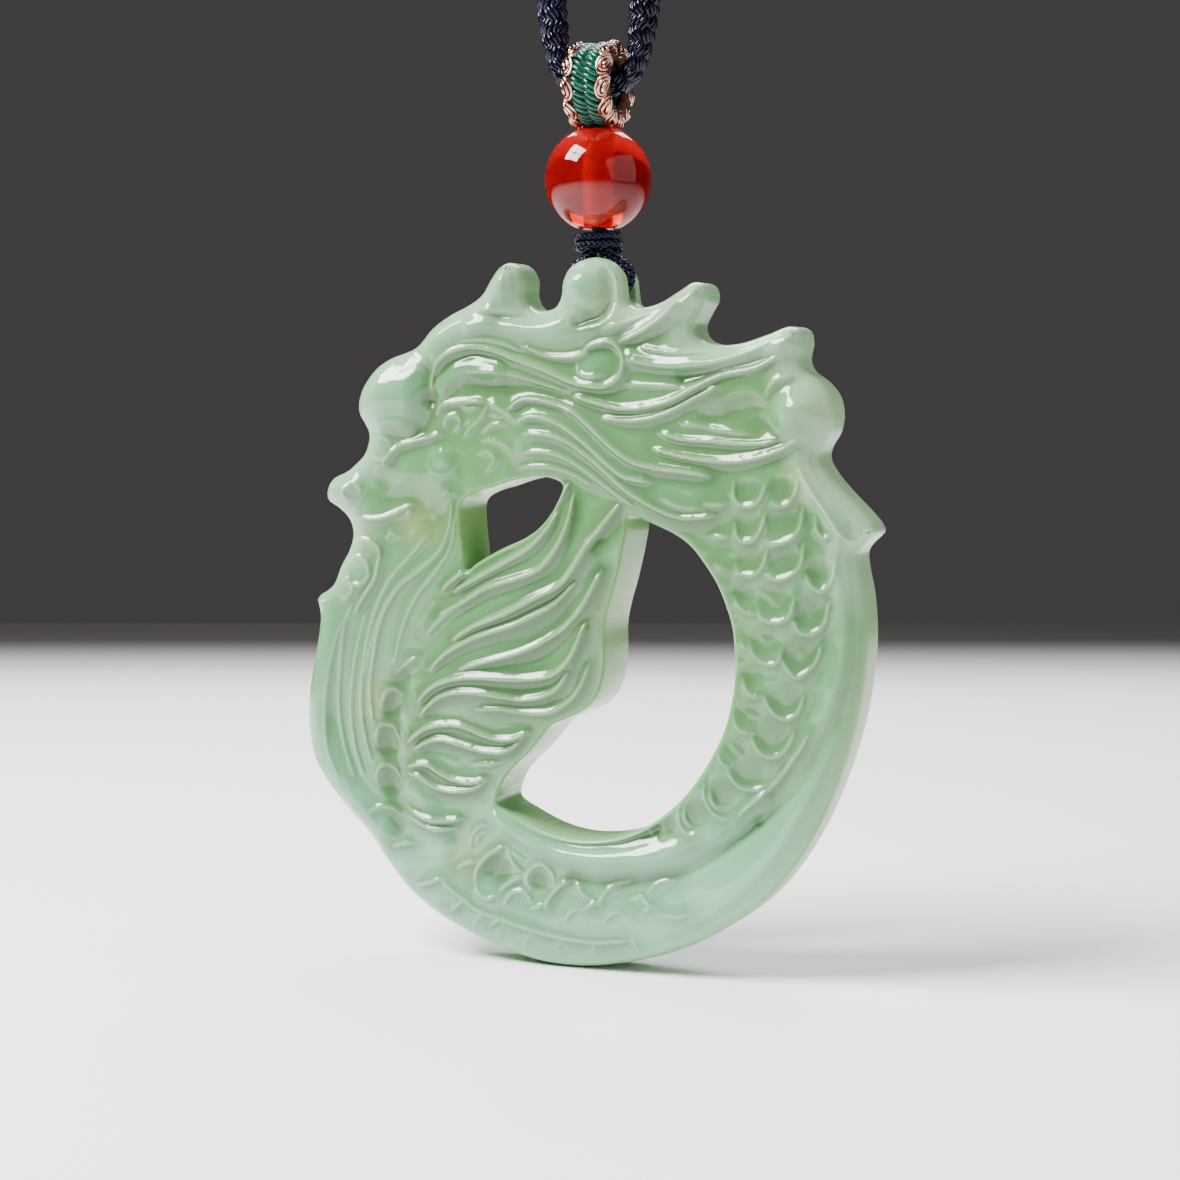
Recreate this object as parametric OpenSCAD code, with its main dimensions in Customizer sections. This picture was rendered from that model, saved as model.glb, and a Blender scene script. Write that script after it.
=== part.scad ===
// Chinese jade pendant on a corded neck loop: a pierced dragon carving, a drilled bead, a wrapped
// bail and the two cords that carry them. The front faces -Y, Z is up, and the origin is at the
// top inside of the neck loop, where it hangs on the neck.

/* [Jade carving] */
// Side of the square grid that the dragon is drawn on
draw_side = 50; // [40:0.5:60]
// Thickness of the slab under the raised carving
slab_t = 5.6; // [4:0.1:7]
// How far in from its outline the slab's edges are rounded
edge_r = 0.9; // [0.5:0.1:1]
// Height of the raised carving above the slab's faces
relief_h = 0.5; // [0.2:0.05:0.8]

/* [Bead] */
// Largest diameter of the round bead
bead_d = 8.2; // [6:0.1:10]
// Height of the bead between its two drilled ends
bead_h = 7.5; // [5.5:0.1:9]

/* [Bail] */
// Outer diameter of the wrapped bail ring
bail_d = 6.5; // [5.6:0.1:8]
// Clear diameter through the middle of the bail ring
bail_bore = 3.1; // [2.9:0.1:3.8]
// Width of the green wrapping round the middle of the bail
wrap_w = 2; // [1.8:0.1:2.4]
// Width of each gold edging at the mouths of the bail
edging_w = 0.9; // [0.7:0.05:1.05]

/* [Cords] */
// Diameter of the braided neck cord
neck_cord_d = 2.6; // [2:0.1:3]
// Diameter of the neck cord where it is squeezed through the bail
squeezed_d = 1.9; // [1.5:0.1:2.1]
// Diameter of the thin cord that holds the bead and the jade
loop_cord_d = 1.2; // [1:0.05:1.3]
// Diameter of the thread wound round the thin cord above the jade
binding_d = 0.6; // [0.5:0.05:0.7]
// Number of turns that the binding makes
binding_turns = 2; // [1:1:3]

/* [Hidden] */
$fn = 48;
X = 0;
Z = 1;

// Clearance round a cord in its bore, and the gap left between pieces that touch
bore_gap = 0.25;
seat_gap = 0.1;
// Height between the jade's knob and the binding, in which the two strands spread
spread_gap = 0.25;

// Half of the neck cord's route, as x and height in mm from the middle of the bail
NECK_ROUTE = [[0, 0], [1.3, 0], [2.15, 0.3], [2.8, 0.95], [3.25, 2], [3.5, 3.4], [3.7, 5],
    [4.2, 9], [6, 18], [10, 38], [18, 72], [29, 112], [41, 150], [52, 188], [59, 222], [59, 250],
    [49, 274], [28, 290], [0, 296]];
// Route point, counted from the middle of the bail, at which the bail's mouth squeezes the cord
mouth_point = 3;
// The thin cord's route, as x and height in mm from the middle of the hole in the jade's knob
LOOP_ROUTE = [[-0.68, 4], [-0.68, 3.4], [-0.72, 2.9], [-1, 2.5], [-1.55, 2.15], [-1.95, 1.65],
    [-2.1, 1.05], [-1.85, 0.35], [-1.2, 0], [1, 0], [1.8, 0.1], [2.35, 0.6], [2.5, 1.3], [2.2, 2],
    [1.6, 2.35], [1, 2.55], [0.72, 2.95], [0.66, 3.4], [0.64, 3.9], [0.5, 4.3], [0.12, 4.85],
    [0, 5.5], [0, 8.6], [0, 13.3]];
loop_cord_sides = 8;

// The dragon's outline, clockwise from the tip of the snout. Columns: x from the middle of the
// drawing grid and height above its foot, both in hundredths of draw_side.
OUTLINE = [
    // Snout, brow and forehead
    [-45.4, 72.6], [-45.2, 74.2], [-44.2, 75.6], [-42, 76.6], [-40.4, 77.8], [-38.6, 79.6],
    [-37.8, 82.2], [-38.4, 83.8], [-39.6, 86], [-39.4, 88.6], [-38.2, 91], [-36.2, 93.2],
    [-33.8, 94.6], [-30.8, 95.6], [-29, 96.6],
    // Crest and first horn
    [-26.6, 99.2], [-23.6, 101.2], [-20.6, 102.6], [-18.2, 104.2], [-16.6, 106.6],
    [-15.2, 108.4], [-13.6, 109.1], [-12, 108.4], [-11, 106.6], [-11, 104], [-10, 102.2],
    [-8, 101.6], [-5.8, 102.2],
    // Knob that the thin cord goes through
    [-4.8, 104], [-4.6, 106], [-3.4, 108.2], [-1, 109.4], [1.2, 109.6], [3.6, 108.8],
    [5.4, 106.8], [5.8, 104.4], [6.2, 102.6], [8, 101.9],
    // Two locks of the mane
    [11.2, 102.6], [14.4, 104.4], [16.6, 105.6], [18.4, 105], [18.8, 103], [17.6, 100.8],
    [16.8, 98.8], [17.8, 97], [20.4, 96.2], [24, 96.4], [28, 97.6], [31.4, 98.8], [33.4, 98.2],
    [33.8, 96.2], [33.4, 94],
    // Curl at the end of the mane and the spike on the back
    [34.2, 92.2], [36.2, 90.8], [38, 88.6], [38.6, 86], [38.2, 83.2], [37, 81.2], [36.6, 79.4],
    [37.6, 77.4], [39.8, 74.8], [42.6, 72], [44.6, 69.8], [45, 68.4], [43.8, 67.2], [42.6, 65.6],
    // Back and belly, round the bottom
    [42.8, 63], [43.6, 59], [44, 54], [43.8, 49], [43, 43], [41.6, 37], [39.6, 31], [36.8, 24.6],
    [33.2, 18.4], [28.6, 12.8], [23, 8.4], [16.8, 4.8], [10.4, 2.4], [4, 0.8], [-2, 0],
    [-8, 0.2], [-14, 1.6], [-20.4, 3.8], [-26, 6.4], [-30.8, 9.8], [-34.6, 14], [-38, 18.4],
    [-42, 22.4], [-45.4, 26.2], [-48, 30.4], [-49, 35.2], [-49, 40], [-48.2, 45], [-47.2, 50],
    [-46.8, 53.6],
    // Chin spike, teeth and lips
    [-47.2, 56.4], [-45.8, 57.4], [-44.2, 58.8], [-43, 61.6], [-41.4, 64.4], [-40.8, 67],
    [-41.6, 69.2], [-43.4, 70.8], [-44.8, 71.6]];

// The opening behind the jaw and the large opening inside the coiled body, with the same columns
JAW_OPENING = [[-20.8, 72.2], [-18, 73.8], [-15.8, 74.4], [-12, 75.6], [-8, 76.2], [-5.6, 76],
    [-3.8, 75], [-4.6, 72.6], [-6.2, 70], [-8.2, 68], [-10.4, 66.6], [-13.2, 65.4],
    [-16, 64], [-18.4, 62.6], [-20.2, 61.4], [-20.6, 65], [-21, 68.6]];
BODY_OPENING = [[7, 70.6], [10.6, 69.4], [14, 68], [16.8, 66.2], [19.2, 63.4], [21.2, 60.4],
    [22.6, 57.2], [23.6, 54], [24, 50], [24, 46], [23.4, 42], [22.4, 38.4], [20.8, 35],
    [18.8, 31.6], [16.2, 28.2], [12.8, 25], [8.8, 22.4], [4.4, 20.8], [0, 20.2], [-4, 20.4],
    [-8, 21.4], [-12, 23.2], [-15, 25], [-14.6, 27.4], [-13.6, 29.4], [-11.8, 31.4],
    [-9.6, 33.4], [-7.6, 35.8], [-5.8, 37.8], [-3.2, 39], [-0.4, 40.4], [1.6, 42.4],
    [2.8, 45.4], [3.2, 49.4], [3.2, 53.4], [3.8, 56.6], [4.8, 60], [5.8, 64], [6.6, 68]];

// Raised lines of the carving. Columns: half width and height of the ridge as shares of relief_h,
// then its points, as the outline's.
HALF_WIDTH = 0;
HEIGHT = 1;
POINTS = 2;
RIDGES = [
    // Eye, brow, cheek and mouth
    [0.7, 0.8, [[-24.2, 86.4], [-22.8, 87.6], [-19.2, 88], [-16, 87.6], [-12.2, 85.4]]],
    [0.7, 0.7, [[-21, 82.6], [-17.6, 83.8], [-14.6, 84.4], [-11.8, 84.8]]],
    [0.8, 0.7, [[-32, 80.2], [-29, 81.4], [-26, 82.2], [-23.4, 82.6]]],
    [0.7, 0.7, [[-36.4, 80], [-35, 78.4], [-32.6, 78.6], [-31.2, 80.2]]],
    [0.8, 0.7, [[-39, 69.4], [-35, 69.2], [-32, 70.2], [-29.2, 71.6]]],
    [0.8, 0.8, [[-40, 66], [-37.2, 65.8], [-35, 64.4], [-35.8, 60.6], [-37.6, 57], [-39.4, 54.4]]],
    // Crescent lock behind the brow and its curl
    [0.9, 1, [[-25.6, 90], [-25.2, 92.4], [-23, 94.6], [-19.4, 96.2], [-15.6, 95.6],
        [-11.6, 94.2], [-6.4, 92.4], [-2.6, 90.8], [0.6, 90], [4, 90], [6.4, 92], [6.4, 94.8],
        [4.4, 96.8], [1.4, 96.4]]],
    [0.8, 0.8, [[-16, 100.4], [-11, 100], [-6, 100], [-1, 101.2]]],
    // Locks that sweep back from the head
    [0.9, 1, [[-12.6, 86.4], [-10, 88], [-6, 87.6], [-2, 86.2], [1, 84], [4.4, 81], [8, 78.6],
        [12, 77.6], [16, 77.2], [20.4, 76.6]]],
    [0.8, 0.9, [[-11.2, 84.8], [-8, 85.6], [-4, 84.4], [0, 81.8], [4, 78.4], [7.2, 76.2],
        [11, 75.8]]],
    [0.8, 0.9, [[-10, 82.8], [-6, 82.8], [-2, 81.4], [2, 78.6], [6, 75], [9.4, 72.8], [13, 71],
        [17, 70.2], [21.2, 70.6]]],
    [0.7, 0.8, [[-10, 79.8], [-6, 80], [-2, 79], [1.6, 76.6], [5.2, 74]]],
    [0.9, 1, [[-2, 88.4], [2, 87.2], [6, 86.6], [10, 86.8], [14, 87.8], [18, 89.8], [22, 91.6],
        [27, 92.4], [31.2, 95.2]]],
    [1, 1, [[7, 94], [12, 93.2], [17, 93], [22, 93.8], [26.6, 95.2], [30.2, 96.8]]],
    [0.8, 0.8, [[3.2, 84.8], [7, 84.8], [11, 85.4], [15, 87], [19.6, 89.4]]],
    [0.9, 1, [[5.4, 96.6], [9, 98], [12.4, 100.4], [15, 102.8], [17, 104]]],
    [0.8, 0.9, [[12, 83], [16, 82], [20, 81.8], [25, 81.2], [29.6, 81.4], [32, 82.4]]],
    [0.9, 1, [[11, 80.6], [16, 79.6], [21, 79.2], [26, 79.2], [30.6, 80.2], [33.6, 81.8]]],
    // Beard
    [0.8, 0.9, [[-22.4, 72], [-22.8, 68], [-24.4, 64.4], [-28, 61.2], [-32, 58], [-34.8, 53],
        [-36, 48], [-36.8, 42], [-36.2, 36]]],
    [0.8, 0.9, [[-26.4, 67], [-30, 63], [-33.4, 59.6], [-36.4, 54], [-38, 48], [-38.6, 41],
        [-38, 35], [-36.4, 30]]],
    [0.8, 0.9, [[-21.8, 69], [-22.6, 65], [-25.4, 61], [-28.8, 57], [-31.4, 52], [-33, 46]]],
    [0.8, 0.9, [[-39.8, 56], [-41.4, 51], [-42.6, 45], [-43.4, 39], [-42.8, 33], [-41, 28]]],
    [0.8, 0.9, [[-38, 53], [-40, 47], [-40.8, 40], [-40.2, 34], [-38.6, 28.6]]],
    // Flames of the tail fin, from the top
    [0.9, 1, [[-24, 58.4], [-21, 60.6], [-17, 63.2], [-12, 65.6], [-8, 68], [-5.4, 71],
        [-3.4, 74.2]]],
    [0.9, 1, [[-25, 54], [-21, 56], [-16, 58.8], [-11, 60.4], [-7, 62], [-4, 65.6], [-2.4, 69.6],
        [-1.8, 74]]],
    [1, 1, [[-23, 50], [-18, 52.8], [-13, 54.8], [-8, 57.4], [-4, 59.2], [-1.4, 62], [1.4, 66.4],
        [4, 70.4], [6, 73]]],
    [0.9, 1, [[-26, 45.8], [-23, 48.4], [-18, 51], [-12, 53], [-8, 54.8], [-4.4, 57], [-1, 60.6]]],
    [0.9, 1, [[-21, 46], [-16, 47.4], [-11, 48.8], [-7, 50.6], [-3, 53.2], [0, 56.6], [3, 62]]],
    [1, 1, [[-28.4, 40.4], [-26, 42.6], [-23, 44], [-19, 44.6], [-14, 44.6], [-10, 44.8],
        [-6, 45.2], [-3.2, 46.8], [-1.2, 50], [0.4, 54]]],
    [0.9, 1, [[-28, 38.4], [-25, 41], [-22, 42.2], [-18, 42.4], [-14, 42], [-10.4, 41.6],
        [-7, 42.2], [-4, 44], [-2.2, 47]]],
    [1, 1, [[-30, 34.2], [-27, 36.2], [-24, 37], [-20.6, 37], [-17, 35.8], [-14.6, 35.2],
        [-12, 35.4], [-9.4, 36.6]]],
    [0.9, 0.9, [[-29, 33.2], [-26, 34.6], [-23.6, 34.8], [-20, 33.8], [-17, 33.2], [-14, 33.4],
        [-11.8, 34.4]]],
    [0.9, 1, [[-30, 30], [-27, 30.4], [-24.6, 29.2], [-22, 28.2], [-19, 28.2], [-16.4, 28.8]]],
    [0.9, 0.9, [[-30, 23.4], [-28, 22.2], [-25, 21.6], [-22.6, 21.8], [-20.6, 22.2]]],
    // Rims that part the scales from the smooth back, and the line round the bottom
    [0.9, 1, [[35, 75], [38, 72], [40, 68], [41, 62], [41.8, 56], [41.4, 50], [40, 42],
        [37.4, 36], [33.6, 31], [28, 26.6], [22, 23], [16, 20.2], [10, 18.6], [4, 17.8],
        [-1, 17.8], [-6, 18.8], [-11, 20.8], [-15.4, 23.8]]],
    [0.8, 0.8, [[-24, 12], [-20, 10], [-15, 7.6], [-10, 6.2], [-4, 5.2], [2, 4.6], [8, 5.2],
        [14, 6.4]]]];

// Scales down the body. Columns: centre, as the outline's, and the way that the scale's round end
// faces, in degrees from straight down.
TURN = 2;
SCALES = [
    [21, 73.4, 0], [26.2, 74.6, 0], [31.6, 74.8, 0], [22, 68.2, 5], [27, 69.2, 5],
    [32.2, 69, 5], [37, 69.6, 5], [24.6, 63.4, 10], [29.6, 63.8, 5], [35, 63, 5],
    [26.2, 57.8, 8], [31.4, 58.2, 3], [36.8, 57.2, 0], [27, 52.2, 5],
    [32, 52, 0], [37.2, 51.2, -5], [27, 46.6, -5], [32, 46, -8], [37, 45, -10],
    [26.2, 41, -15], [31.2, 40, -16], [35.6, 38.6, -18], [24.6, 35.6, -28],
    [29.4, 34, -30], [22, 30.8, -42], [25.6, 28.4, -45], [18.2, 26, -58],
    [-13.8, 15.4, 150], [-7.4, 13.6, 165], [-1.4, 12, 175], [4.8, 12, 180], [11, 13, 190],
    [-10.8, 9.4, 160], [-4.8, 8.4, 170], [1, 8, 178], [7, 8.6, 185],
    [-33.2, 40, 180], [-34, 34, 180], [-33.8, 27.8, 180], [-33, 21.4, 185], [-29.6, 15.6, 195]];
scale_r = 0.026 * draw_side;
scale_rise = 0.9;

// Domes of the carving. Columns: centre, as the outline's, its two radii across the face in
// hundredths of draw_side, and its height as a share of relief_h.
ACROSS = 2;
UP = 3;
RISE = 4;
DOMES = [
    // Forehead, cheek, snout, nostril and the tooth balls
    [-32, 88.4, 6, 5.4, 1.2], [-24, 79.6, 3.6, 2, 0.9], [-34.2, 80.4, 2.2, 2.2, 0.9],
    [-41.6, 74, 2.6, 2.4, 1], [-38.8, 60.8, 2.4, 2.4, 1], [-41, 58.2, 1.6, 1.6, 0.9],
    [-22.4, 84.4, 1.5, 1.5, 0.9],
    // Horn, knob, the two lock tips and the curl
    [-13.4, 104.6, 2.4, 3.4, 0.9], [0.8, 105.2, 3.8, 3.6, 1.3], [1.8, 92.8, 2, 2, 1],
    [33.4, 86.2, 4, 4.2, 1.6], [17.4, 102.8, 1.2, 2, 0.8], [32, 96.6, 1.4, 1.8, 0.8]];

grid = draw_side / 100;
jade_low = min([for (p = OUTLINE) p[Z]]) * grid;
// The knob is the part of the outline that lies this near to the middle, in its columns' unit
knob_reach = 6;
knob_top = max([for (p = OUTLINE) if (abs(p[X]) < knob_reach) p[Z]]) * grid;
bore_drop = 2.7;
bore_r = loop_cord_d / 2 + bore_gap;
// Depth of the hole in the bail's foot that the thin cord ends in
catch_depth = 1;
bail_r = bail_d / 2;

// Heights of the pieces, hung one below another from the bail
loop_h = max([for (p = NECK_ROUTE) p[Z]]);
bail_z = neck_cord_d / 2 - loop_h;
bead_z = bail_z - bail_r - seat_gap - bead_h / 2;
binding_pitch = binding_d + 0.05;
binding_h = binding_turns * binding_pitch + binding_d;
binding_base_z = bead_z - bead_h / 2 - seat_gap - binding_h;
jade_z = binding_base_z - spread_gap - knob_top;
bore_z = jade_z + knob_top - bore_drop;

// Points along a smooth closed curve through route, with steps to a span
function curve_point(a, b, c, d, t) =
    0.5 * (2 * b + (c - a) * t + (2 * a - 5 * b + 4 * c - d) * t * t
        + (3 * b - a - 3 * c + d) * t * t * t);
function closed_curve(route, steps) = let (n = len(route)) [
    for (i = [0:n - 1], k = [0:steps - 1])
        curve_point(route[(i + n - 1) % n], route[i], route[(i + 1) % n], route[(i + 2) % n],
            k / steps)];

// Unit direction of a list of points at point i
function unit(v) = v / norm(v);
function way(points, i, closed) = let (n = len(points))
    closed ? unit(points[(i + 1) % n] - points[(i + n - 1) % n])
        : unit(points[min(i + 1, n - 1)] - points[max(i - 1, 0)]);

// Round tube through rings of points, closed on itself or capped at both ends
module tube(centres, normals, sideways, radii, sides, closed) {
    n = len(centres);
    spans = closed ? n : n - 1;
    polyhedron(
        points = [for (i = [0:n - 1], s = [0:sides - 1]) let (a = 360 * (s + 0.5) / sides)
            centres[i] + radii[i] * (cos(a) * normals[i] + sin(a) * sideways[i])],
        faces = concat(
            [for (i = [0:spans - 1], s = [0:sides - 1]) let (j = (i + 1) % n, t = (s + 1) % sides)
                [i * sides + s, i * sides + t, j * sides + t, j * sides + s]],
            closed ? [] : [[for (s = [sides - 1:-1:0]) s],
                [for (s = [0:sides - 1]) (n - 1) * sides + s]]));
}

// Tube along flat points in the plane of the pendant
module flat_tube(points, radii, sides, closed) {
    n = len(points);
    ways = [for (i = [0:n - 1]) way(points, i, closed)];
    tube([for (p = points) [p[X], 0, p[Z]]], [for (d = ways) [-d[Z], 0, d[X]]],
        [for (d = ways) [0, 1, 0]], radii, sides, closed);
}

// The pierced slab with rounded edges. Each closed list of points is repeated at every level of
// the edge's section, and both faces are joined to the openings' rims at one point each.
module slab(outline, jaw_opening, body_opening) {
    // The outline's point and the opening's point that each join runs between
    loops = [outline, jaw_opening, body_opening];
    sides = [1, -1, -1];
    jaw_bridge = [103, 15];
    body_bridge = [80, 18];
    section = [for (a = [-90:30:90]) [edge_r * (1 - cos(a)), slab_t / 2 * sin(a)]];
    levels = len(section);
    starts = [0, len(outline) * levels, (len(outline) + len(jaw_opening)) * levels];
    points = [for (k = [0:2], level = section, i = [0:len(loops[k]) - 1]) let (
            d = way(loops[k], i, true),
            p = loops[k][i] + sides[k] * level[0] * [d[Z], -d[X]])
        [p[X], level[1], p[Z]]];
    function index(k, level, i) = starts[k] + level * len(loops[k]) + i % len(loops[k]);
    walls = [for (k = [0:2], level = [0:levels - 2], i = [0:len(loops[k]) - 1])
        let (wall = [index(k, level, i), index(k, level + 1, i), index(k, level + 1, i + 1),
            index(k, level, i + 1)])
        sides[k] > 0 ? wall : [wall[3], wall[2], wall[1], wall[0]]];
    function rim(k, level, from) = let (n = len(loops[k]))
        [for (i = [0:n]) index(k, level, from + n - i)];
    front = [for (i = [0:len(outline) - 1])
        each i == jaw_bridge[0] ? concat([index(0, 0, i)], rim(1, 0, jaw_bridge[1]),
                [index(0, 0, i)])
            : i == body_bridge[0] ? concat([index(0, 0, i)], rim(2, 0, body_bridge[1]),
                [index(0, 0, i)])
            : [index(0, 0, i)]];
    back = [for (i = [len(front) - 1:-1:0]) let (
            v = front[i],
            k = v >= starts[2] ? 2 : v >= starts[1] ? 1 : 0)
        v + (levels - 1) * len(loops[k])];
    polyhedron(points = points, faces = concat(walls, [front, back]));
}

// Raised line with a sharp crest, buried a little in the face that it stands on
module ridge(points, half_width, height) {
    n = len(points);
    bury = height;
    face = -slab_t / 2;
    polyhedron(
        points = [for (i = [0:n - 1]) let (
                d = way(points, i, false),
                taper = i == 0 || i == n - 1 ? 0.35 : 1,
                side = half_width * taper * [d[Z], -d[X]],
                p = points[i])
            each [[p[X] - side[0], face, p[Z] - side[1]], [p[X], face - height * taper, p[Z]],
                [p[X] + side[0], face, p[Z] + side[1]], [p[X], face + bury, p[Z]]]],
        faces = concat(
            [for (i = [0:n - 2], s = [0:3]) let (t = (s + 1) % 4)
                [i * 4 + s, i * 4 + 4 + s, i * 4 + 4 + t, i * 4 + t]],
            [[0, 1, 2, 3], [for (s = [3:-1:0]) (n - 1) * 4 + s]]));
}

// One scale as a flat plate that rises from its root to its round end
module scale_plate(row) {
    root = 0.8;
    turn = row[TURN];
    across = concat([for (a = [-100:40:100]) [sin(a), cos(a)]], [[0, -root]]);
    n = len(across);
    face = -slab_t / 2;
    middle = grid * [row[X], row[Z]];
    rims = [for (p = across) middle + scale_r
        * [p[0] * cos(turn) + p[1] * sin(turn), p[0] * sin(turn) - p[1] * cos(turn)]];
    rises = [for (p = across) scale_rise * relief_h * ((p[1] + root) / (1 + root) - 0.1)];
    polyhedron(
        points = concat([for (i = [0:n - 1]) [rims[i][X], face - rises[i], rims[i][Z]]],
            [for (p = rims) [p[X], face + relief_h, p[Z]]]),
        faces = concat(
            [[for (i = [n - 1:-1:0]) i], [for (i = [0:n - 1]) n + i]],
            [for (i = [0:n - 1]) let (j = (i + 1) % n) [j, n + j, n + i, i]]));
}

// Relief of the front face
module carving() {
    for (row = RIDGES) {
        ridge(grid * row[POINTS], row[HALF_WIDTH] * relief_h, row[HEIGHT] * relief_h);
    }
    for (row = SCALES) {
        scale_plate(row);
    }
    for (row = DOMES) {
        translate([row[X] * grid, -slab_t / 2, row[Z] * grid])
            scale([row[ACROSS] * grid, row[RISE] * relief_h, row[UP] * grid])
                rotate([90, 0, 0])
                    hull() {
                        cylinder(r = 1, h = 0.3, center = true, $fn = 12);
                        cylinder(r = 0.75, h = 0.7, $fn = 12);
                        cylinder(r = 0.4, h = 1, $fn = 12);
                    }
    }
}

// Groove round the knob in which the thin cord lies, and the hole that the cord goes through
module cord_groove() {
    points = [for (p = LOOP_ROUTE) if (p[Z] > 0 && p[Z] < 3) p];
    // Point of the knob that the groove opens away from, from the middle of the hole
    middle = [0.2, 1.2];
    for (i = [0:len(points) - 2]) {
        if (points[i][X] * points[i + 1][X] > 0) {
            hull() {
                for (p = [points[i], points[i + 1]]) {
                    out = unit(p - middle) * 2 * bore_r;
                    translate([p[X], 0, p[Z]])
                        sphere(bore_r, $fn = 8);
                    translate([p[X] + out[X], 0, p[Z] + out[Z]])
                        sphere(bore_r, $fn = 8);
                }
            }
        }
    }
    rotate([0, 90, 0])
        cylinder(r = bore_r, h = 5 * loop_cord_d, center = true, $fn = 12);
}

module jade_dragon() {
    color("#a9c8a6")
        translate([0, 0, jade_z])
            difference() {
                union() {
                    slab(grid * OUTLINE, grid * JAW_OPENING, grid * BODY_OPENING);
                    carving();
                    mirror([0, 1, 0])
                        carving();
                }
                translate([0, 0, knob_top - bore_drop])
                    cord_groove();
            }
}

module red_bead() {
    color("#c01a14")
        translate([0, 0, bead_z])
            difference() {
                intersection() {
                    sphere(d = bead_d);
                    cube([bead_d, bead_d, bead_h], center = true);
                }
                cylinder(r = bore_r, h = bead_h + 1, center = true);
            }
}

// Turns a drawing, x as radius and y as place along the bail, into a ring about the X axis
module bail_ring() {
    translate([0, 0, bail_z])
        rotate([0, 90, 0])
            rotate_extrude()
                children();
}

module bail_wrap() {
    wall = (bail_d - bail_bore) / 2;
    swell = 0.2;
    color("#0c7a55")
        difference() {
            bail_ring()
                intersection() {
                    translate([bail_bore / 2, -wrap_w / 2])
                        square([wall, wrap_w]);
                    translate([bail_bore / 2, 0])
                        scale([1, 1.4])
                            circle(wall);
                }
            translate([0, 0, bail_z - bail_r - 1])
                cylinder(r = bore_r, h = 1 + catch_depth);
        }
}

module bail_edging(side) {
    edging_r = (bail_d + bail_bore) / 4;
    color("#e6c8a8")
        bail_ring()
            translate([edging_r, side * (wrap_w / 2 + seat_gap / 2 + edging_w / 2)])
                scale([(bail_d - bail_bore) / 2 / edging_w - 0.08, 1])
                    circle(edging_w / 2);
}

module pendant_cord() {
    points = LOOP_ROUTE;
    color("#141a38")
        translate([0, 0, bore_z])
            flat_tube(points, [for (p = points) loop_cord_d / 2], loop_cord_sides, false);
}

// Thread wound round the two strands of the thin cord, as a coil with flat sides
module cord_binding() {
    turn_rings = 12;
    count = binding_turns * turn_rings;
    strand_x = -LOOP_ROUTE[0][X];
    reach = (binding_d + loop_cord_d) / 2 + seat_gap;
    centres = [for (i = [0:count]) let (a = 360 * (i + 0.5) / turn_rings)
        [reach * cos(a) + strand_x * sign(cos(a)), reach * sin(a),
            binding_base_z + binding_d / 2 + binding_pitch * i / turn_rings]];
    ways = [for (i = [0:count]) unit(centres[min(i + 1, count)] - centres[max(i - 1, 0)])];
    normals = [for (d = ways) unit(cross(d, [0, 0, 1]))];
    color("#141a38")
        tube(centres, normals, [for (i = [0:count]) cross(normals[i], ways[i])],
            [for (c = centres) binding_d / 2], 8, false);
}

module neck_cord() {
    last = len(NECK_ROUTE) - 1;
    left = [for (i = [last - 1:-1:1]) [-NECK_ROUTE[i][X], NECK_ROUTE[i][Z]]];
    steps = 2;
    points = closed_curve(concat(NECK_ROUTE, left), steps);
    n = len(points);
    radii = [for (i = [0:n - 1]) let (
            from_mouth = abs(min(i, n - i) / steps - mouth_point),
            spread = max(0, min(1, (from_mouth - 1) / 2)))
        (squeezed_d + spread * (neck_cord_d - squeezed_d)) / 2];
    color("#15152c")
        translate([0, 0, bail_z])
            flat_tube(points, radii, 8, true);
}

jade_dragon();
red_bead();
bail_wrap();
bail_edging(-1);  // bail_edging_left
bail_edging(1);  // bail_edging_right
pendant_cord();
cord_binding();
neck_cord();
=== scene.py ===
# %% [markdown]
# The frame
#
# The pendant's solids come packed as a fixed frame: every piece has its place, in metres, with the
# origin at the back of the neck, where the loop hangs. Nothing of it is moved here. Each piece that
# is made below stands for one of its solids and rides on the same body. Shapes are drawn in mm and
# scaled by MM when they become a mesh.

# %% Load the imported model
import math

import bmesh
import bpy
import numpy as np
from mathutils import Matrix, Vector


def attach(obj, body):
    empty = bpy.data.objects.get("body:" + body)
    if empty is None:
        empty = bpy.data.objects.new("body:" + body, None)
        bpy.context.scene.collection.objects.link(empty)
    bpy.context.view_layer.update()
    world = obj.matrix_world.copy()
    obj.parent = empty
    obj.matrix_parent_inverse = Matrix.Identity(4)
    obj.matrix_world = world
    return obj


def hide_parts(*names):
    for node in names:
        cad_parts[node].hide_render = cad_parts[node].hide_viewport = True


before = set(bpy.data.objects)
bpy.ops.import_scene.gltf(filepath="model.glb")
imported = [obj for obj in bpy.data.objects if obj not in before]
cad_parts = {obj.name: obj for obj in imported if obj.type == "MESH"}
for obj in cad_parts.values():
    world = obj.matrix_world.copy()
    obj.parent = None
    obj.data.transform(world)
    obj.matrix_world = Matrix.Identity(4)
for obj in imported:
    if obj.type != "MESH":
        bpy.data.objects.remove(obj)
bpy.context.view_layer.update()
MM = 0.001
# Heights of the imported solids, in mm: the middles of the bail, the bead and the knob's hole, and
# the lower ends of the binding and the jade
BAIL_Z = -294.7
BEAD_Z = -301.8
BORE_Z = -310.5
BINDING_BASE_Z = -307.55
JADE_Z = -362.6

# %% [markdown]
# The view
#
# A photograph's viewing angle can be guessed with the camera's sliders, or worked out. Here the
# table's horizon gives the camera's tilt, and the depth of the openings' walls gives how far it
# stands to the right. The lens is long for the small distance, which keeps the pendant's sides
# nearly parallel.

# %% Camera
PHOTO_SIDE = 1180
FOCAL_PIXELS = 2500
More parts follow.
